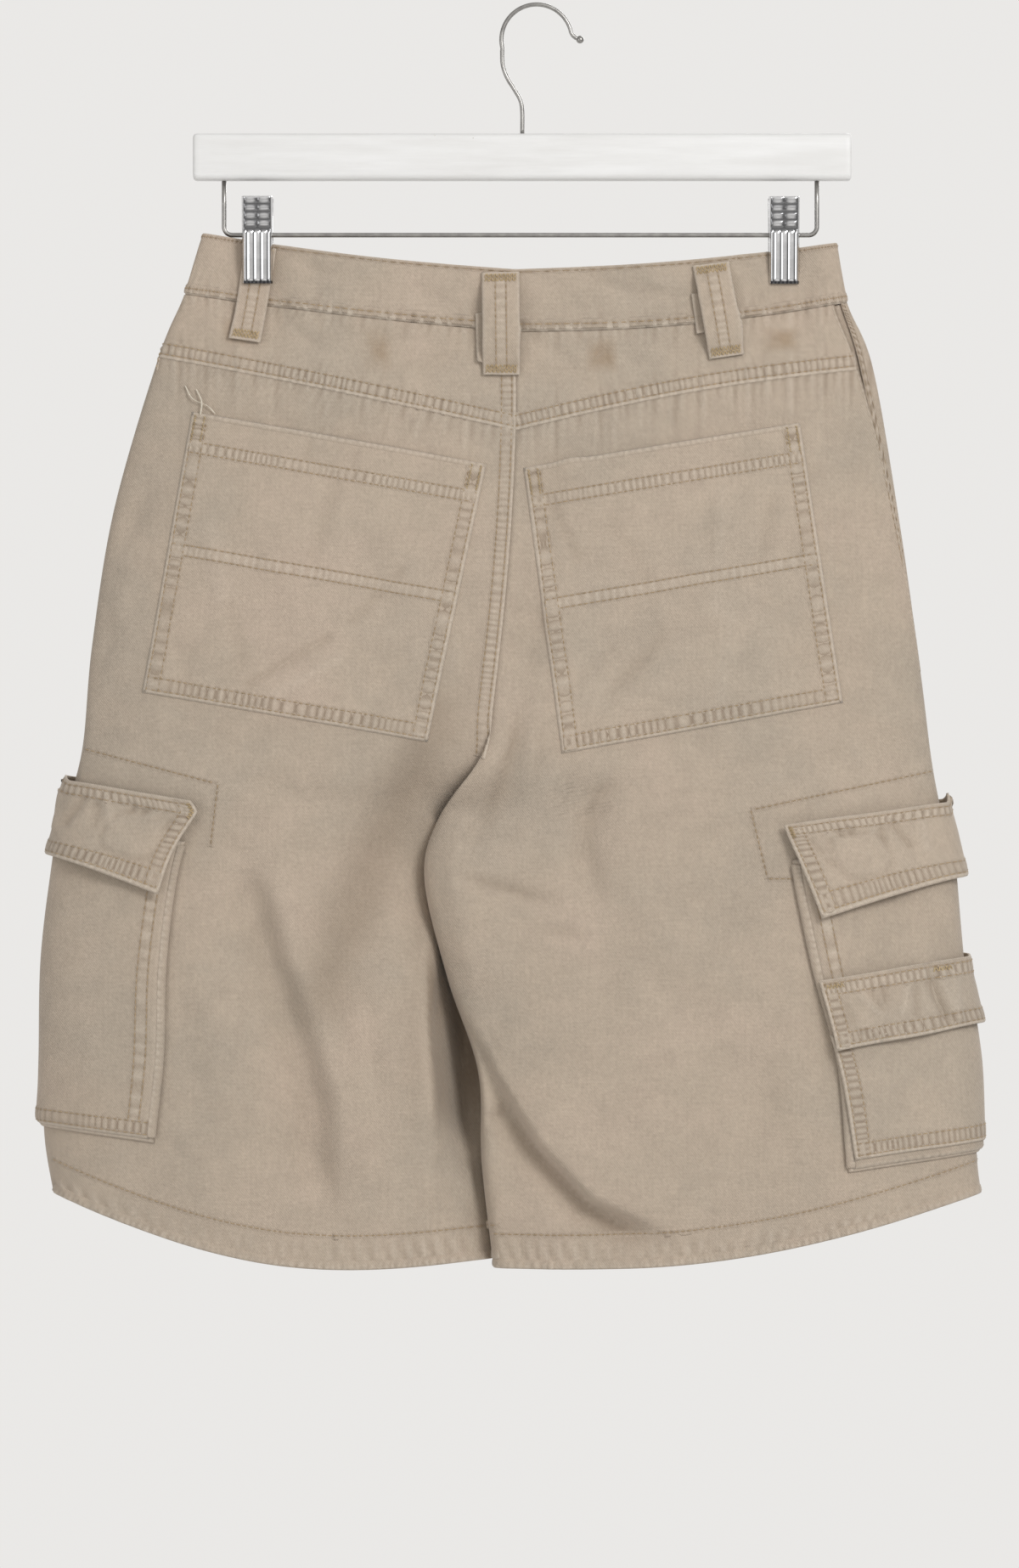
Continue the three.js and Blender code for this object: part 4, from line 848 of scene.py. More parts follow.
class Look:
    """The nodes of a material or of the room, with short ways to add to them."""

    def __init__(self, owner):
        owner.use_nodes = True
        self.owner = owner
        self.nodes = owner.node_tree.nodes
        self.links = owner.node_tree.links
        self.place = self.nodes.new("ShaderNodeTexCoord").outputs

    def feed(self, socket, value):
        """Links a socket to another one, or gives it a number, a vector or a colour."""
        if isinstance(value, bpy.types.NodeSocket):
            self.links.new(value, socket)
        elif socket.type == "RGBA":
            socket.default_value = (*value, 1)
        else:
            socket.default_value = value

    def add(self, kind, inputs, **settings):
        """The outputs of a new node with these settings and inputs."""
        node = self.nodes.new("ShaderNode" + kind)
        for name, value in settings.items():
            setattr(node, name, value)
        for name, value in inputs.items():
            self.feed(node.inputs[name], value)
        return node.outputs

    def surface(self, inputs):
        for name, value in inputs.items():
            self.feed(self.nodes["Principled BSDF"].inputs[name], value)

    def attribute(self, name):
        return self.add("Attribute", {}, attribute_name=name)["Fac"]

    def mapped(self, **inputs):
        return self.add("Mapping", {"Vector": self.place["Object"], **inputs})["Vector"]

    def noise(self, scale, detail=3.0, roughness=0.55, at=None):
        at = self.place["Object"] if at is None else at
        inputs = {"Scale": scale, "Detail": detail, "Roughness": roughness, "Vector": at}
        return self.add("TexNoise", inputs)["Fac"]

    def ramp(self, value, stops):
        node = self.nodes.new("ShaderNodeValToRGB")
        while len(node.color_ramp.elements) < len(stops):
            node.color_ramp.elements.new(0.5)
        for element, (position, colour) in zip(node.color_ramp.elements, stops):
            element.position = position
            element.color = (*colour, 1)
        self.feed(node.inputs["Fac"], value)
        return node.outputs["Color"]

    def mixed(self, kind, factor, first, second):
        """A colour mix. Sockets 0, 6 and 7 of the node are its factor and its two colours."""
        inputs = {0: factor, 6: first, 7: second}
        return self.add("Mix", inputs, data_type="RGBA", blend_type=kind)[2]

    def product(self, first, second):
        return self.add("Math", {0: first, 1: second}, operation="MULTIPLY")[0]

    def scaled(self, value, amount, offset=0.0):
        """value * amount + offset, kept between 0 and 1."""
        inputs = {0: value, 1: amount, 2: offset}
        return self.add("Math", inputs, operation="MULTIPLY_ADD", use_clamp=True)[0]

    def bump(self, height, strength, distance, **inputs):
        inputs = {"Strength": strength, "Distance": distance, "Height": height, **inputs}
        return self.add("Bump", inputs)["Normal"]


def stain_mask(look, x, z, half_width, half_height):
    """Full inside a soft rectangle at x, z, and nothing outside it."""
    place = look.mapped(
        Location=(-(x + STEM_X) / half_width, 0, -z / half_height),
        Scale=(1 / (half_width * MM), 0, 1 / (half_height * MM)),
    )
    away = look.add("VectorMath", {0: place}, operation="ABSOLUTE")["Vector"]
    parts = look.add("SeparateXYZ", {"Vector": away})
    farthest = look.add("Math", {0: parts["X"], 1: parts["Z"], 2: 0.4}, operation="SMOOTH_MAX")[0]
    return look.scaled(farthest, -1.5, 1.6)


def make_cloth(name, tint=1.0, twill=1.0, stains=()):
    """Washed khaki twill: mottled colour, diagonal ribs, pale wear on edges, painted highlights on
    ridges, and painted shade in grooves and hollows.
    """
    look = Look(bpy.data.materials.new(name))
    colour = look.ramp(look.noise(11, 4, 0.6), ((0.35, KHAKI_GREY), (0.5, KHAKI), (0.68, KHAKI_PINK)))
    middling = look.noise(70, 3, 0.6)
    colour = look.mixed("OVERLAY", 0.12, colour, middling)
    fine = look.noise(620, 3, 0.7)
    colour = look.mixed("OVERLAY", 0.2, colour, fine)
    for stretch in ((700, 700, 45), (45, 700, 700)):
        slub = look.noise(1.0, 2, 0.5, look.mapped(Scale=stretch))
        colour = look.mixed("OVERLAY", 0.07, colour, slub)

    turned = look.mapped(Rotation=(0, math.radians(38), 0))
    rib_inputs = {"Scale": 330, "Distortion": 1.4, "Detail": 2, "Detail Scale": 2.5, "Vector": turned}
    ribs = look.add("TexWave", rib_inputs, bands_direction="X")
    colour = look.mixed("SOFT_LIGHT", 0.16 * twill, colour, ribs["Color"])

    # Painted shade from the shade attribute: hollows, seam grooves and the valleys between puckers
    colour = look.mixed("MIX", look.scaled(look.attribute("shade"), 0.72), colour, PAINTED_SHADE_TONE)
    # Real wear on edges, and painted highlights on ridges, turn the cloth pale
    worn_and_highlit = look.product(look.scaled(look.attribute("wear_and_highlight"), 1.0), look.scaled(fine, 1.6, -0.15))
    colour = look.mixed("MIX", look.scaled(worn_and_highlit, 0.85), colour, WEAR_AND_HIGHLIGHT_TONE)
    if tint != 1.0:
        colour = look.mixed("MULTIPLY", 1.0, colour, (tint, tint, tint))
    for stain in stains:
        patchy = look.product(stain_mask(look, *stain), look.scaled(middling, 2.2, -0.45))
        colour = look.mixed("MULTIPLY", patchy, colour, STAIN_TONE)

    weave = {0: ribs["Fac"], 1: 0.55 * twill, 2: fine}
    weave_bump = look.bump(look.add("Math", weave, operation="MULTIPLY_ADD")[0], 0.55, 0.0003)
    soft_bump = look.bump(look.noise(60, 3, 0.5), 0.5, 0.0016, Normal=weave_bump)
    look.surface({
        "Base Color": colour, "Roughness": 0.92, "Specular IOR Level": 0.22,
        "Sheen Weight": 0.18, "Sheen Roughness": 0.55, "Normal": soft_bump,
    })
    return look.owner


def make_plain(name, scale, detail, dark, light, roughness):
    """A rough surface that varies softly between two tones."""
    look = Look(bpy.data.materials.new(name))
    tone = look.ramp(look.noise(scale, detail), ((0.3, dark), (0.7, light)))
    look.surface({"Base Color": tone, "Roughness": roughness})
    return look.owner


def make_thread(name, colour):
    dark, light = (tuple(amount * c for c in colour) for amount in (0.8, 1.2))
    return make_plain(name, 500, 2, dark, light, 0.75)


def make_paint():
    """Off-white paint over wood, with faint grain and brown chips along the edges."""
    look = Look(bpy.data.materials.new("painted_wood"))
    grain = look.noise(3, 4, 0.6, look.mapped(Scale=(6, 60, 60)))
    tone = look.ramp(grain, ((0.3, (0.745, 0.74, 0.728)), (0.7, (0.82, 0.82, 0.815))))
    chips = look.ramp(look.noise(130, 4, 0.65), ((0.0, (1, 1, 1)), (0.275, (1, 1, 1)), (0.29, (0, 0, 0))))
    at_edge = look.product(chips, look.attribute("wear_and_highlight"))
    colour = look.mixed("MIX", at_edge, tone, (0.36, 0.29, 0.22))
    look.surface({"Base Color": colour, "Roughness": 0.5, "Normal": look.bump(grain, 0.25, 0.0006)})
    return look.owner


def make_metal(name, dark, light, roughness, bump_distance, metallic=1.0, groove=None):
    """Smudged metal, or horn with metallic 0. groove is the tone of the painted shade and painted dark
    reflections.
    """
    look = Look(bpy.data.materials.new(name))
    smudge = look.noise(180, 4, 0.6)
    tone = look.ramp(smudge, ((0.3, dark), (0.7, light)))
    if groove:
        tone = look.mixed("MIX", look.attribute("shade"), tone, groove)
    look.surface({
        "Base Color": tone, "Metallic": metallic, "Roughness": look.scaled(smudge, 0.2, roughness),
        "Normal": look.bump(smudge, 0.3, bump_distance),
    })
    return look.owner


TWILL = make_cloth("twill")
TWILL_PALE = make_cloth("twill_pale", 1.03)
TWILL_BAND = make_cloth("twill_band", 1.02, 1.2)
TWILL_YOKE = make_cloth("twill_yoke", 1.03, stains=STAINS)
THREAD = make_thread("thread", (0.39, 0.29, 0.18))
GOLD_THREAD = make_thread("gold_thread", (0.47, 0.36, 0.21))
LOOSE_THREAD = make_thread("loose_thread", (0.66, 0.60, 0.50))
PAINT = make_paint()
STEEL = make_metal("steel_wire", (0.30, 0.29, 0.28), (0.44, 0.43, 0.41), 0.26, 0.0001)
CHROME = make_metal(
    "chrome", (0.78, 0.78, 0.79), (0.9, 0.9, 0.91), 0.04, 0.00005, groove=(0.06, 0.06, 0.065)
)
BUTTON = make_metal("button", (0.16, 0.12, 0.08), (0.22, 0.17, 0.11), 0.4, 0.0002, metallic=0.0)


# The shorts

on_back = on_face("back")
on_front = on_face("front")


def even_rows(side, first, last, count):
    """Rows that are evenly spaced down the cloth."""
    rows = np.linspace(first, last, 400)
    sides = np.full(rows.shape, side)
    height = column("centre_z", sides, rows) + column("side_z", sides, rows)
    return np.interp(np.linspace(height[0], height[-1], count), height[::-1], rows[::-1])


def seam_around(side, rows):
    """How far round the side seam lies at each row."""
    return column("seam", np.full(rows.shape, side), rows)


def mouth_width(rows):
    """How far the hip pocket's mouth opens past the side seam."""
    return MOUTH * (1 - smoothstep(rows, BAND, MOUTH_END))


def cloth_path(side, around, rows):
    """x, z points of a line on the cloth."""
    return [tuple(p) for p in cloth(np.full(rows.shape, side), around, rows)[:, [0, 2]]]


def row_path(side, row, from_part, to_part, count=14):
    """A line along a row, between two parts of the way from the centre back to the side seam."""
    rows = np.full(count, float(row))
    return cloth_path(side, np.linspace(from_part, to_part, count) * seam_around(side, rows), rows)


def hem_path(side, above, first=0.02, last=0.5, count=16):
    """A line above the hem, between two places on the way round."""
    points = cloth(np.full(count, side), np.linspace(first, last, count), np.full(count, float(HEM)))
    return [(p[0], p[2] + above) for p in points]


def painted_shade(side, points):
    """How much painted shade darkens the hollows."""
    shade = np.zeros(points.shape[:-1])
    for half, path, amount, left_width, right_width in HOLLOW_PAINTED_SHADE:
        if half != side:
            continue
        distance, right, travelled, total = along_path(path, points[..., 0], points[..., 2])
        ends = smoothstep(np.minimum(travelled, total - travelled), 0, 30)
        shade += amount * np.exp(-((distance / np.where(right, right_width, left_width)) ** 2)) * ends
    return np.clip(shade, 0, 1)


def back_grid(side, row, columns):
    """Places from the centre back to the side seam at each row."""
    return np.linspace(0.0004, 1, columns)[:, None] * (seam_around(side, row) - 0.0004)[None, :]


def build_back_panel(side):
    name = SIDE_NAMES[side]
    row = even_rows(side, YOKE + 0.004, HEM, 206)
    around = back_grid(side, row, 114)
    piece = Piece("back_" + name)
    # Painted shade in the hollows of the seat and legs
    points = cloth(np.full(around.shape, side), around, np.broadcast_to(row, around.shape))
    piece.on_half(side, around, row[None, :], 0.0, 0.06, painted_shade(side, points))
    way = 1 if side == RIGHT else -1
    sew(piece, on_back, hem_path(side, 18.5)[::way], TOPSTITCH, seed=2.0 + side, ladder=0.2)
    sew(piece, on_back, hem_path(side, 1.6)[::way], HEM_EDGE, seed=1.0 + side, stitched=False)
    if side == LEFT:
        rows = np.linspace(BAND + 0.1, CROTCH + 0.1, 18)
        sew(piece, on_back, cloth_path(side, 0 * rows, rows), FELLED, seed=0.7, mirror=True, ladder=0.13)
    for half, path, seed in BACKING_LINES:
        if half == side:
            sew(piece, on_back, path, TOPSTITCH, seed=seed)
    if side == RIGHT:
        rows = np.linspace(YOKE, SEAT, 9)
        side_seam = cloth_path(side, seam_around(side, rows) - 0.001, rows)
        sew(piece, on_back, side_seam, SEAM_LINE, seed=4.0, stitched=False)
    made = piece.build(TWILL, "twill", ["back_panel_" + name], CLOTH)


def build_yoke(side):
    name = SIDE_NAMES[side]
    row = np.linspace(BAND + 0.004, YOKE - 0.004, 30)
    piece = Piece("yoke_of_" + name)
    piece.on_half(side, back_grid(side, row, 110), row[None, :], 0.0, 0.05)
    line = row_path(side, YOKE, 0.0, 0.985)
    sew(piece, on_back, line, FELLED, seed=5.0 + side, mirror=side == LEFT)
    if side == RIGHT:
        rows = np.linspace(BAND, YOKE, 5)
        edge = cloth_path(side, seam_around(side, rows) - 0.001, rows)
        sew(piece, on_back, edge, SEAM_LINE, seed=4.4, stitched=False)
    made = piece.build(TWILL_YOKE, "twill", ["yoke_" + name], CLOTH)


def build_front_panel(side):
    name = SIDE_NAMES[side]
    row = even_rows(side, BAND + 0.004, HEM, 134)
    first = (seam_around(side, row) + mouth_width(row) + 0.0004)[None, :]
    around = first + (0.9996 - first) * np.linspace(0, 1, 70)[:, None]
    piece = Piece("front_" + name)
    piece.on_half(side, around, row[None, :], 0.0, 0.06)
    hem = hem_path(side, 18.5, 0.52, 0.98)[:: 1 if side == LEFT else -1]
    sew(piece, on_front, hem, TOPSTITCH, "front", seed=2.4 + side, mirror=True)
    rows = np.linspace(BAND + 0.03, 3.2, 12)
    mouth = seam_around(side, rows) + mouth_width(rows) + 0.001
    line = np.stack([mouth * ROUND, rows * ROW_STEP], axis=1)
    sew(piece, half_surface(side), line, EDGE, "back" if side == RIGHT else "front", seed=6.0 + side)
    made = piece.build(TWILL, "twill", ["front_panel_" + name], CLOTH)


def build_facing(side):
    """The strip of cloth that shows in the mouth of a hip pocket."""
    name = SIDE_NAMES[side]
    piece = Piece("pocket_facing_" + name)
    rows = np.linspace(BAND + 0.01, MOUTH_END, 40)[None, :]
    width = mouth_width(rows) + 0.02
    around = seam_around(side, rows) + 0.001 + np.linspace(0, 1, 14)[:, None] * width
    # Painted shade inside the pocket's mouth
    piece.on_half(side, around, rows, -1.6, 0.0, 0.15)
    made = piece.build(TWILL, "twill", ["hip_pocket_facing_" + name], 0.8)


ROUND, ROW_STEP = 500, 45  # rough millimetres all the way round one half, and to a section step


def half_surface(side):
    """A surface over one half, in those rough millimetres."""

    def at(a, b, lift):
        a, b, lift = np.broadcast_arrays(np.asarray(a, float), b, lift)
        around, row = np.clip(a / ROUND, 0, 1), np.clip(b / ROW_STEP, 0, HEM)
        return lifted(np.full(a.shape, side), around, row, lift)

    return at


def build_waistband():
    part = np.linspace(-1, 1, 350)[:, None]
    side = np.where(part <= 0, RIGHT, LEFT)
    around = np.minimum(np.abs(part), 0.999)
    down = np.linspace(0, 1, 22)
    row = np.concatenate([[0.03, 0.0, 0.0], 0.012 + down * (BAND - 0.008)])[None, :]
    profile = 0.35 + 0.25 * np.sin(math.pi * down) + 0.3 * smoothstep(down, 0.8, 0.95)
    profile[-1] = -0.5
    lift = np.concatenate([[-1.5, -1.1, -0.3], profile])[None, :]
    ripple = 0.22 * np.sin(part * 172 + 2 * np.sin(part * 31)) * smoothstep(row, 0.35, 0.95)
    piece = Piece("waistband_cloth")
    wear_and_highlight = np.clip(0.1 + 0.5 * (row < 0.03) + 0.8 * smoothstep(row, 0.93, 0.97), 0, 1)
    piece.on_half(side, around, row, lift + ripple, wear_and_highlight)
    surface = half_ring()
    for along, base in ((0.09, 0.5), (0.905, 0.74)):
        for start, end, where in ((-172, 172, "back"), (176, 352, "front"), (-352, -176, "front")):
            line = np.stack([np.linspace(start, end, 60), np.full(60, along * BAND_HEIGHT)], axis=1)
            sew(piece, surface, line, TOPSTITCH, where, base=base, seed=along, ladder=0.24, wave=5.1)
    made = piece.build(TWILL_BAND, "twill", ["waistband"], 1.5)


def half_ring():
    """A surface over the waistband, in millimetres from the centre back and down from its top."""

    def at(a, b, lift):
        a, b, lift = np.broadcast_arrays(np.asarray(a, float), b, lift)
        around, row = np.clip(np.abs(a) / BAND_HALF, 0, 1), np.clip(b / BAND_HEIGHT, 0, 1)
        return lifted(np.where(a > 0, RIGHT, LEFT), around, row, lift)

    return at


def crease_height(creases, a, b):
    """Small creases on a sewn-on piece, each between two points."""
    height = 0.0
    for (a0, b0), (a1, b1), depth, wide in creases:
        length_squared = (a1 - a0) ** 2 + (b1 - b0) ** 2
        part = np.clip(((a - a0) * (a1 - a0) + (b - b0) * (b1 - b0)) / length_squared, 0, 1)
        away = np.hypot(a - a0 - part * (a1 - a0), b - b0 - part * (b1 - b0))
        height = height + depth * np.exp(-((away / wide) ** 2))
    return height


def build_back_pocket(side):
    name = SIDE_NAMES[side]
    patch = quad_patch("back", BACK_POCKETS[side])
    width, height = patch.width, patch.height

    def relief(a, b):
        return crease_height(POCKET_CREASES[side], a, b)

    def lift(a, b):
        edge = patch.edge_distance(a, b)
        mouth = 1.6 * np.sin(math.pi * np.clip(a / width, 0, 1)) * (1 - smoothstep(b, 0, 22))
        corner = 2.4 * np.exp(-(((a - 26) / 9) ** 2)) * (1 - smoothstep(b, 0, 30)) if side == RIGHT else 0
        return 0.45 + 0.95 * smoothstep(edge, 0, 1.5) + mouth + corner + relief(a, b) * smoothstep(edge, 0, 6)

    patch.lift = lift
    piece = Piece("pocket_back_" + name)
    # The creases get painted highlights and painted shade
    piece.on_patch(patch, 2.1, relief=relief)
    at = patch.at
    left, right, low = INSET, width - INSET, height - INSET
    sew(piece, at, [(left, height - 1), (left, 2)], EDGE, seed=7 + side, ladder=0.5, wave=7.6)
    sew(piece, at, [(right, 2), (right, height - 1)], EDGE, seed=8 + side, ladder=0.5, wave=7.6)
    sew(piece, at, [(width - 2, low), (2, low)], EDGE, seed=9 + side, wave=5.0)
    sew(piece, at, [(1, 0.7), (width - 1, 0.7)], LIP, seed=10 + side, stitched=False)
    sew(piece, at, [(2, 16), (width - 2, 16)], DOUBLE, seed=3 + side, ladder=0.34)
    across = 0.465 * height
    sew(piece, at, [(2, across), (width - 2, across)], DOUBLE, seed=5 + side, ladder=0.05, wave=4.6)
    for corner in (2.6, width - 7.6):
        for a in (corner, corner + 5):
            bar_tack(at, (a, 1.5), (a, 15.5), 1.1, 0.5, 13)
    made = piece.build(TWILL_PALE, "twill", ["back_pocket_" + name], 0.9)


def build_cargo_pocket(side):
    name = SIDE_NAMES[side]
    patch = side_patch(side, CARGO["pocket_" + name])
    width, height = patch.width, patch.height

    def lift(a, b):
        edge = patch.edge_distance(a, b)
        waves = 0.9 * np.sin(a / 11 + b / 29) * smoothstep(edge, 4, 22)
        return 2.6 + 1.4 * smoothstep(edge, 0, 3) + waves

    patch.lift = lift
    piece = Piece("pocket_cargo_" + name)
    piece.on_patch(patch, 2.7)
    sew(piece, patch.at, [(INSET, 4), (INSET, height - 1)], LIP, seed=11 + side, stitched=False)
    sew(piece, patch.at, [(6.0, height - 9), (6.0, 4)], DOUBLE, seed=12 + side, ladder=0.1, wave=7.8)
    hem = [(1, height - INSET), (width - 1, height - INSET)]
    seam, stitched = (EDGE, True) if side == LEFT else (LIP, False)
    sew(piece, patch.at, hem, seam, seed=13 + side, mirror=True, stitched=stitched)
    made = piece.build(TWILL, "twill", ["cargo_pocket_" + name], 1.0)
    build_gusset(name, patch)


def build_gusset(name, patch):
    """The strip that joins three sides of a cargo pocket to the leg."""
    width, height = patch.width, patch.height
    line = even_corners([(0, 0), (0, height), (width, height), (width, 0)], 3.0)
    from_middle = line[:, 0] - width / 2
    sideways = np.where(np.abs(from_middle) > width / 2 - 0.5, np.sign(from_middle), 0)
    outward = np.stack([sideways, np.where(line[:, 1] > height - 0.5, 1.0, 0)], axis=1)
    rings = []
    for out, rise in ((-7.5, 1.9), (-1.5, 2.1), (0.8, 1.8), (1.7, 1.1), (2.1, 0.3), (1.8, -0.4)):
        spot = line + outward * out
        zero = -patch.lift(spot[:, 0], spot[:, 1])
        rings.append(patch.at(spot[:, 0], spot[:, 1], zero + rise))
    k = len(line) // 2
    above = patch.at(line[k : k + 1, 0], line[k : k + 1, 1], 8.0)
    piece = Piece("gusset_" + name)
    # Wear on the turned edge, and painted shade where the strip turns under beside the pocket
    wear_and_highlight, shade = [0.1, 0.2, 0.5, 0.2, 0.0, 0.0], [0.2, 0.2, 0.0, 0.3, 0.7, 0.9]
    piece.grid(np.stack(rings, axis=1), above, wear_and_highlight, shade)
    made = piece.build(TWILL_PALE, "twill", ["cargo_gusset_" + name], 0.6)


def even_corners(corners, step):
    """Even points along straight runs that keep every corner."""
    points = []
    for (ax, ay), (bx, by) in zip(corners, corners[1:]):
        count = max(int(math.hypot(bx - ax, by - ay) / step), 1)
        t = np.linspace(0, 1, count, endpoint=False)[:, None]
        points.append(np.array([ax, ay]) * (1 - t) + np.array([bx, by]) * t)
    points.append(np.array([corners[-1]], float))
    return np.vstack(points)


def build_flap(label, node, side, base, flare, button=None):
    patch = side_patch(side, CARGO[label])
    width, height = patch.width, patch.height
    narrow = height <= NARROW_FLAP
    creases = FLAP_CREASES + (PHONE_CREASES if narrow else ())

    def button_distance(a, b):
        """From the middle of the rounded square that the button underneath has pressed out."""
        return (np.abs(a - button[0]) ** 3 + np.abs(b - button[1]) ** 3) ** (1 / 3)

    def wrinkles(a, b):
        value = crease_height(creases, a, b)
        if button:
            distance = button_distance(a, b)
            value = value * smoothstep(distance, 11, 16) - 0.8 * np.exp(-(((distance - 15.6) / 1.3) ** 2))
        return value

    def lift(a, b):
        t = np.clip(b / height, 0, 1)
        waves = 0.8 * np.sin(a / 7.0 + 2 * t) * smoothstep(t, 0.1, 0.5)
        disc = 1.3 * (1 - smoothstep(button_distance(a, b), 12.5, 15.5)) if button else 0
        return base + flare * t**2 + waves + disc + wrinkles(a, b)

    patch.lift = lift
    piece = Piece("flap_" + label)
    # The creases and the button's pressed rim get painted highlights and painted shade
    piece.on_patch(patch, 1.9, relief=wrinkles)
    at = patch.at
    left, right, low = INSET, width - INSET, height - INSET
    sew(piece, at, [(left, height - 1), (left, 1)], EDGE, seed=14 + side)
    sew(piece, at, [(width - 1, low), (1, low)], EDGE, seed=15 + side)
    sew(piece, at, [(right, 1), (right, height - 1)], EDGE, "front", seed=16 + side)
    top = 2.4 if narrow else 3
    sew(piece, at, [(1, top), (width - 1, top)], DOUBLE, seed=17 + side, ladder=0.3)
    if narrow:
        bar_tack(at, (3, 4), (13, 4), 2.2, 0.5, 10)
        bar_tack(at, (61, 4), (71, 4), 2.2, 0.5, 10)
    else:
        bar_tack(at, (3, 2), (3, 11), 2.4, 0.5, 10)
    made = piece.build(TWILL_PALE, "twill", [node], 1.2)


def build_phone_pocket():
    patch = side_patch(RIGHT, CARGO["phone_pocket"], lambda a, b: 5.0 + 0 * a)
    width, height = patch.width, patch.height
    piece = Piece("pocket_phone")
    piece.on_patch(patch, 2.4)
    sew(piece, patch.at, [(INSET, height - 1), (INSET, 1)], EDGE, seed=18)
    sew(piece, patch.at, [(width - 1, height - INSET), (1, height - INSET)], EDGE, seed=19)
    made = piece.build(TWILL_PALE, "twill", ["phone_pocket_right"], 0.9)


def build_belt_loop(name, face, corners, bow):
    patch = quad_patch(face, corners)
    width, height = patch.width, patch.height
    base = LOOP_LIFT if bow else LOOP_LIFT_AT_CLIP

    def lift(a, b):
        t = np.clip((b / height - 0.08) / 0.84, 0, 1)
        rounded = 0.35 * smoothstep(np.minimum(a, width - a), 0, 1.2)
        return base + 1.2 + bow * np.sin(math.pi * t) ** 0.7 + rounded

    patch.lift = lift
    piece = Piece(name + "_cloth")
    piece.on_patch(patch, 1.1, 0.8)
    middle = 0.5 * width + DOUBLE["rows"][1] / 2
    line = [(middle, 3), (middle, height - 3)]
    sew(piece, patch.at, line, DOUBLE, face, seed=height, ladder=0.07, wave=4.6)
    if name in LOOP_TUCKS:
        tuck = quad_patch(face, LOOP_TUCKS[name], lambda a, b: 2.6 + 0.5 * np.sin(b / 3.2))
        piece.on_patch(tuck, 1.1, 0.8)
    made = piece.build(TWILL_PALE, "twill", [name], 1.3)
    for b in (1.9, 4.0, height - 4.2, height - 2.1):
        bar_tack(patch.at, (1.6, b), (width - 1.6, b), 2.0, 0.3, 15)


def build_fly():
    top = -188.8
    corners = ((-42.2, top), (-4.4, top), (-4.4, top - 142), (-42.2, top - 112))
    patch = quad_patch("front", corners, lambda a, b: 1.45 + 0 * a)
    width, height = patch.width, patch.height
    piece = Piece("fly_cloth")
    piece.on_patch(patch, 2.2)
    curve = [(3, 2), (3, 0.72 * height), (9, 0.9 * height), (26, 0.99 * height)]
    sew(piece, patch.at, curve, DOUBLE, "front", seed=20, mirror=True)
    edge = [(width - INSET, 2), (width - INSET, height - 2)]
    sew(piece, patch.at, edge, LIP, "front", seed=21, stitched=False)
    made = piece.build(TWILL, "twill", ["fly"], 0.9)


def build_button():
    """A button with a raised rim, turned about its axis and then faced to the front."""
    low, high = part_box("waist_button")
    centre = [(low[k] + high[k]) / 2 for k in range(3)]
    rim = ((0, 0), (7.4, 0), (8.3, 0.6), (8.5, 1.5), (8.0, 2.5), (6.9, 2.9), (5.6, 2.4), (4.6, 1.9), (0, 1.8))
    button = lathe("waist_button_disc", rim, 40, BUTTON)
    place = Matrix.Translation((centre[0], low[1], centre[2]))
    button.data.transform(place @ Matrix.Rotation(-math.pi / 2, 4, "X"))
    dress(button, "button", "waist_button")


def lathe(name, profile, steps, material):
    """A turned shape about its own Z axis, from radius and height in millimetres."""
    mesh = bmesh.new()
    rings = []
    for radius, height in profile:
        ring = []
        for k in range(steps if radius > 0 else 1):
            angle = 2 * math.pi * k / steps
            x, y = radius * math.cos(angle), radius * math.sin(angle)
            ring.append(mesh.verts.new((x * MM, y * MM, height * MM)))
        rings.append(ring)
    for low, high in zip(rings, rings[1:]):
        for k in range(steps):
            n = k + 1
            corners = [low[k % len(low)], low[n % len(low)], high[n % len(high)], high[k % len(high)]]
            mesh.faces.new(list(dict.fromkeys(corners)))
    return finish_bmesh(name, mesh, material)


def bridge(mesh, rings):
    """Faces between rings of one size, and over both ends."""
    count = len(rings[0])
    for low, high in zip(rings, rings[1:]):
        for k in range(count):
            mesh.faces.new((low[k], low[(k + 1) % count], high[(k + 1) % count], high[k]))
    mesh.faces.new(rings[0][::-1])
    mesh.faces.new(rings[-1])


def finish_bmesh(name, mesh, material, smooth=True):
    bmesh.ops.recalc_face_normals(mesh, faces=mesh.faces)
    data = bpy.data.meshes.new(name)
    mesh.to_mesh(data)
    mesh.free()
    for face in data.polygons:
        face.use_smooth = smooth
    data.materials.append(material)
    return add_object(name, data)


def build_threads():
    """All the stitches of one face as one mesh."""
    for where, material in (("back", THREAD), ("front", THREAD), ("gold", GOLD_THREAD)):
        groups = [g for g in THREADS[where] if len(g)]
        corners = np.concatenate(groups).reshape(-1, 9, 3)
        corners = (corners + np.array([STEM_X, 0, 0])) * MM
        index = np.arange(len(corners))[:, None] * 9
        quads = []
        for j in (0, 3):
            for k in range(3):
                n = (k + 1) % 3
                quads.append(index + np.array([[j + k, j + n, j + 3 + n, j + 3 + k]]))
        caps = [index + np.array([[0, 2, 1]]), index + np.array([[6, 7, 8]])]
        faces = np.concatenate(quads).tolist() + np.concatenate(caps).tolist()
        mesh = bpy.data.meshes.new("stitching_" + where)
        mesh.from_pydata(corners.reshape(-1, 3).tolist(), [], faces)
        mesh.materials.append(material)
        dress(add_object("stitching_" + where, mesh), "twill")


# The hanger

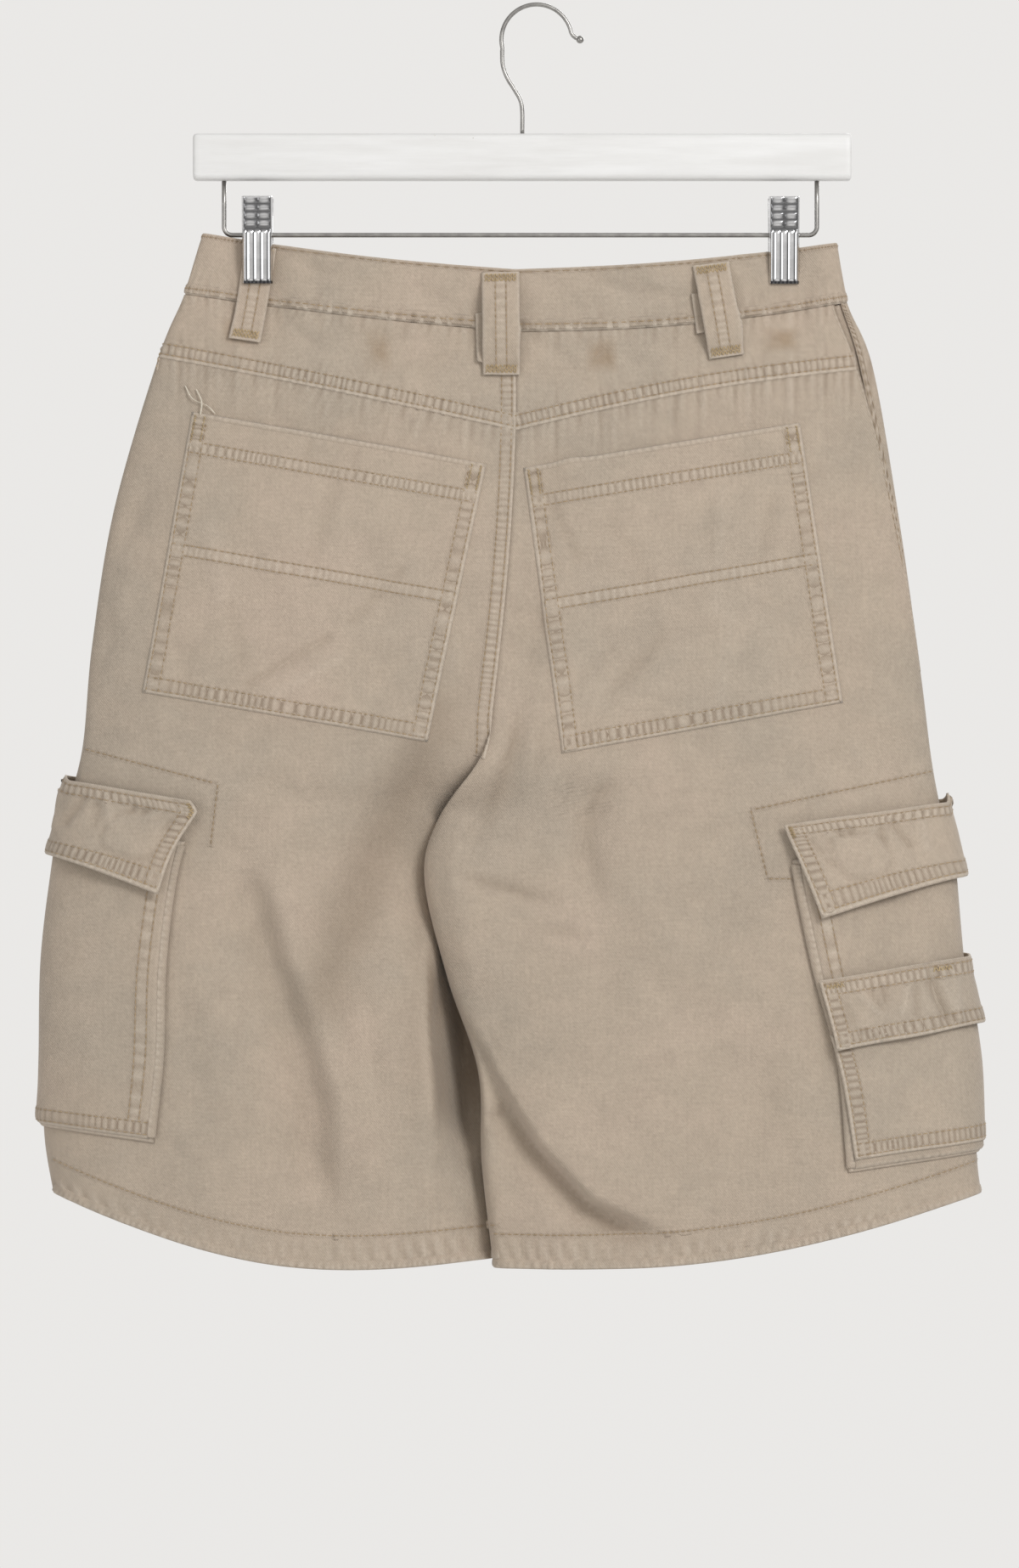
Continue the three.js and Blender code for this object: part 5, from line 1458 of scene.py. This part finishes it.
def tube(name, points, radius, ball=None):
    """A round wire through x, z points in one upright plane. A ball ends it where one is given."""
    at = np.array(points, float)
    sides = 16
    mesh = bmesh.new()
    rings = []
    for i, point in enumerate(at):
        ahead = at[min(i + 1, len(at) - 1)] - at[max(i - 1, 0)]
        ahead = ahead / np.linalg.norm(ahead)
        normal = np.array([-ahead[1], ahead[0]])
        ring = []
        for k in range(sides):
            angle = 2 * math.pi * k / sides
            spot = point + normal * radius * math.cos(angle)
            depth = radius * math.sin(angle)
            ring.append(mesh.verts.new(((spot[0] + STEM_X) * MM, depth * MM, spot[1] * MM)))
        rings.append(ring)
    bridge(mesh, rings)
    if ball:
        place = Matrix.Translation(((ball[0] + STEM_X) * MM, 0, ball[1] * MM))
        bmesh.ops.create_uvsphere(mesh, u_segments=20, v_segments=12, radius=ball[2] * MM, matrix=place)
    return finish_bmesh(name, mesh, STEEL)


def arc(centre, radius, start, end, steps):
    angles = np.radians(np.linspace(start, end, steps))
    return [(centre[0] + radius * math.cos(a), centre[1] + radius * math.sin(a)) for a in angles]


def build_hook():
    wire, bend = HOOK["wire"], HOOK["bend"]
    stem, _, _ = resample(HOOK_STEM, 2.0)
    turn = arc((-STEM_X, wire - bend), bend, 194, 12, 60)
    x, z = turn[-1]
    kick = [(x + 0.9, z - 1.6), (x + 2.4, z - 2.9), (x + 4.4, z - 3.6)]
    hook = tube("hook_wire", [*map(tuple, stem), *turn, *kick], wire, (x + 4.8, z - 3.9, HOOK["ball"]))
    dress(hook, "steel_wire", "hanger_hook")


def build_rod():
    left, right, top, corner = ROD["left"], ROD["right"], ROD["top"], ROD["corner"]
    level = ROD["level"]
    points = [(left, top), (left, top - 12)]
    points += arc((left + corner, level + corner), corner, 180, 270, 12)
    points += [(x, level) for x in np.linspace(-150, 150, 16)]
    points += arc((right - corner, level + corner), corner, 270, 360, 12)
    points += [(right, top - 12), (right, top)]
    dress(tube("rod_wire", points, ROD["wire"]), "steel_wire", "hanger_rod")


def build_bar():
    """The bar: a board with rounded edges, whose paint is chipped along them."""
    length, height, thick, corner = BAR["length"], BAR["height"], BAR["thick"], BAR["corner"]
    rounding = BAR["end"]
    section = []
    for sideways, up, start in ((1, -1, -90), (1, 1, 0), (-1, 1, 90), (-1, -1, 180)):
        middle = (sideways * (thick / 2 - corner), up * (height / 2 - corner))
        section += arc(middle, corner, start, start + 90, 7)
    mesh = bmesh.new()
    wear_and_highlight = mesh.verts.layers.float.new("wear_and_highlight")
    ends = np.array([0, 0.25, 0.9, rounding])
    inner = np.linspace(4, length - 4, 60)
    rings = []
    for s in np.concatenate([ends, inner, [length - 2, length - 0.9, length - 0.25, length]]):
        end = min(s, length - s)
        inset = rounding - math.sqrt(max(rounding**2 - (rounding - min(end, rounding)) ** 2, 0))
        narrower, lower = 1 - inset / (thick / 2), 1 - inset / (height / 2)
        ring = []
        for y, z in section:
            place = (s - length / 2 + STEM_X, y * narrower, BAR["top"] - height / 2 + z * lower)
            spot = mesh.verts.new([value * MM for value in place])
            at_corner = abs(y) > thick / 2 - 3.2 and abs(z) > height / 2 - 3.2
            spot[wear_and_highlight] = 1.0 if (at_corner or end < 2.5) else 0.0
            ring.append(spot)
        rings.append(ring)
    bridge(mesh, rings)
    dress(finish_bmesh("bar_painted", mesh, PAINT), "painted_wood", "hanger_bar")


def clip_relief(across, z):
    """Height of the pressed pattern: flutes on the jaw and two columns of bumps on the grip."""
    inside = smoothstep(CLIP_WIDTH / 2 - np.abs(across), 0.9, 1.5)
    flutes = 0.75 * np.abs(np.sin(math.pi * (across / 3.75 + 0.5))) ** 0.8
    flutes *= smoothstep(z, -149.6, -148) * (1 - smoothstep(z, -122.6, -121.4))
    up, sideways = np.sin(math.pi * (z + 103.5) / 4.15), np.sin(math.pi * across / 7.4)
    bumps = np.abs(up) ** 0.7 * np.abs(sideways) ** 0.5
    bumps = 0.9 * bumps * smoothstep(z, -121.0, -120.2)
    return inside * (flutes + bumps)


def clip_shade(across, z):
    """Painted dark reflections and shade in the chrome: grooves, the field round the bumps and the toothed
    edge.
    """
    relief = clip_relief(across, z)
    from_edge = CLIP_WIDTH / 2 - np.abs(across)
    jaw = smoothstep(-z, 121.6, 122.8)
    groove = jaw * (1 - smoothstep(relief, 0.12, 0.45))
    field = (1 - jaw) * (1 - 0.85 * smoothstep(relief, 0.45, 0.8)) * smoothstep(-z, 103.9, 104.8)
    teeth = (z < -148.6) & (np.sin(2 * math.pi * across / 2.1) < 0.2)
    return np.clip((0.9 * groove + 0.8 * field) * smoothstep(from_edge, 0.7, 1.2) + teeth, 0, 1)


def build_jaw(half, jaw, outward, foot, ear):
    """One pressed jaw of a clip, with an ear on each side."""
    node = "clip_" + SIDE_NAMES[half] + "_" + jaw
    x = CLIP_X[half]
    bend = np.array(CLIP_BENDS)
    heights = np.linspace(bend[0, 1], bend[-1, 1], 74)
    out = foot + np.interp(heights, bend[:, 1], bend[:, 0])
    across = np.linspace(-CLIP_WIDTH / 2, CLIP_WIDTH / 2, 46)
    grid_x, grid_z = np.meshgrid(across, heights, indexing="ij")
    rim = -2.6 * (1 - smoothstep(CLIP_WIDTH / 2 - np.abs(grid_x), 0, 0.9)) + 0.9
    depth = out[None, :] + rim + clip_relief(grid_x, grid_z)
    points = np.stack([x + grid_x, outward * depth, grid_z], axis=-1)
    piece = Piece(node + "_pressed")
    # The shade attribute carries the chrome's painted dark reflections
    piece.grid(points, points[23, 37] + np.array([0, outward, 0]), 0.0, clip_shade(grid_x, grid_z))
    for side in (-1, 1):
        ear_z = np.linspace(-126.2, -118.5, 8)[None, :] * np.ones((10, 1))
        ear_y = outward * np.linspace(foot + 3.8, -2.4, 10)[:, None] * np.ones((1, 8))
        plate = np.stack([np.full(ear_y.shape, x + side * ear), ear_y, ear_z], axis=-1)
        piece.grid(plate, plate[5, 4] + np.array([side, 0, 0]))
    piece.build(CHROME, "chrome_clip", [node], 0.55)


def build_loose_threads():
    for k, path in enumerate(THREAD_ENDS):
        points, _, _ = resample(path, 0.8)
        rings = []
        for angle in np.linspace(0, 2 * math.pi, 7):
            lift = 1.0 + 0.4 * math.sin(angle) + 1.2 * np.sin(np.linspace(0, 3, len(points)))
            rings.append(on_back(points[:, 0] + 0.4 * math.cos(angle), points[:, 1], lift))
        piece = Piece(f"loose_thread_{k}")
        tube_points = np.stack(rings, axis=0)
        piece.grid(tube_points, tube_points[3, len(points) // 2] + np.array([-1, 0, 0]))
        piece.build(LOOSE_THREAD, "twill")


# Floor, light and camera

def build_stage():
    mesh = bmesh.new()
    bmesh.ops.create_circle(mesh, cap_ends=True, segments=96, radius=1.5)
    tone = make_plain("pale_floor", 4, 3.0, (0.78, 0.775, 0.765), (0.81, 0.805, 0.795), 0.85)
    floor = finish_bmesh("floor", mesh, tone, smooth=False)
    floor.location = (0, 0, FLOOR_DEPTH)


def area_light(name, place, size, power):
    data = bpy.data.lights.new(name, "AREA")
    data.shape = "RECTANGLE"
    data.size = data.size_y = size
    data.energy = power
    light = add_object(name, data)
    light.location = place
    light.rotation_euler = (Vector(LAMPS_FACE) - Vector(place)).to_track_quat("-Z", "Y").to_euler()


def build_light():
    world = bpy.data.worlds.new("pale_room")
    bpy.context.scene.world = world
    look = Look(world)
    inputs = {0: look.place["Generated"], 1: LIT_FROM}
    facing = look.add("VectorMath", inputs, operation="DOT_PRODUCT")["Value"]
    tones = [(place, tuple(tone * c for c in ROOM_TONE)) for place, tone in ROOM]
    background = look.nodes["Background"].inputs
    look.feed(background["Color"], look.ramp(look.scaled(facing, 0.5, 0.5), tones))
    look.feed(background["Strength"], ROOM_STRENGTH)
    bpy.context.scene.view_settings.view_transform = "Standard"
    for lamp in LAMPS:
        area_light(*lamp)


def build_camera():
    camera = bpy.data.cameras.new("camera")
    view_height = PHOTO["height"] * PHOTO["mm_per_pixel"] * MM
    camera.sensor_width = SENSOR
    camera.lens = SENSOR * CAMERA_AWAY / view_height
    holder = add_object("camera", camera)
    holder.location = (PHOTO["centre"][0] * MM, -CAMERA_AWAY, PHOTO["centre"][1] * MM)
    holder.rotation_euler = (math.pi / 2, 0, 0)
    bpy.context.scene.camera = holder


build_camera()
build_light()
build_stage()
build_bar()
build_hook()
build_rod()
for row in JAWS:
    build_jaw(*row)
for half in (LEFT, RIGHT):
    build_back_panel(half)
    build_yoke(half)
    build_front_panel(half)
    build_facing(half)
    build_back_pocket(half)
    build_cargo_pocket(half)
build_flap("flap_left", "cargo_flap_left", LEFT, 6.2, 3.4, button=(25, 28))
build_flap("flap_right", "cargo_flap_right", RIGHT, 6.2, 3.4, button=(33, 29))
build_phone_pocket()
build_flap("phone_flap", "phone_flap_right", RIGHT, 7.2, 1.6)
build_waistband()
for row in LOOPS:
    build_belt_loop(*row)
build_fly()
build_button()
build_loose_threads()
build_threads()
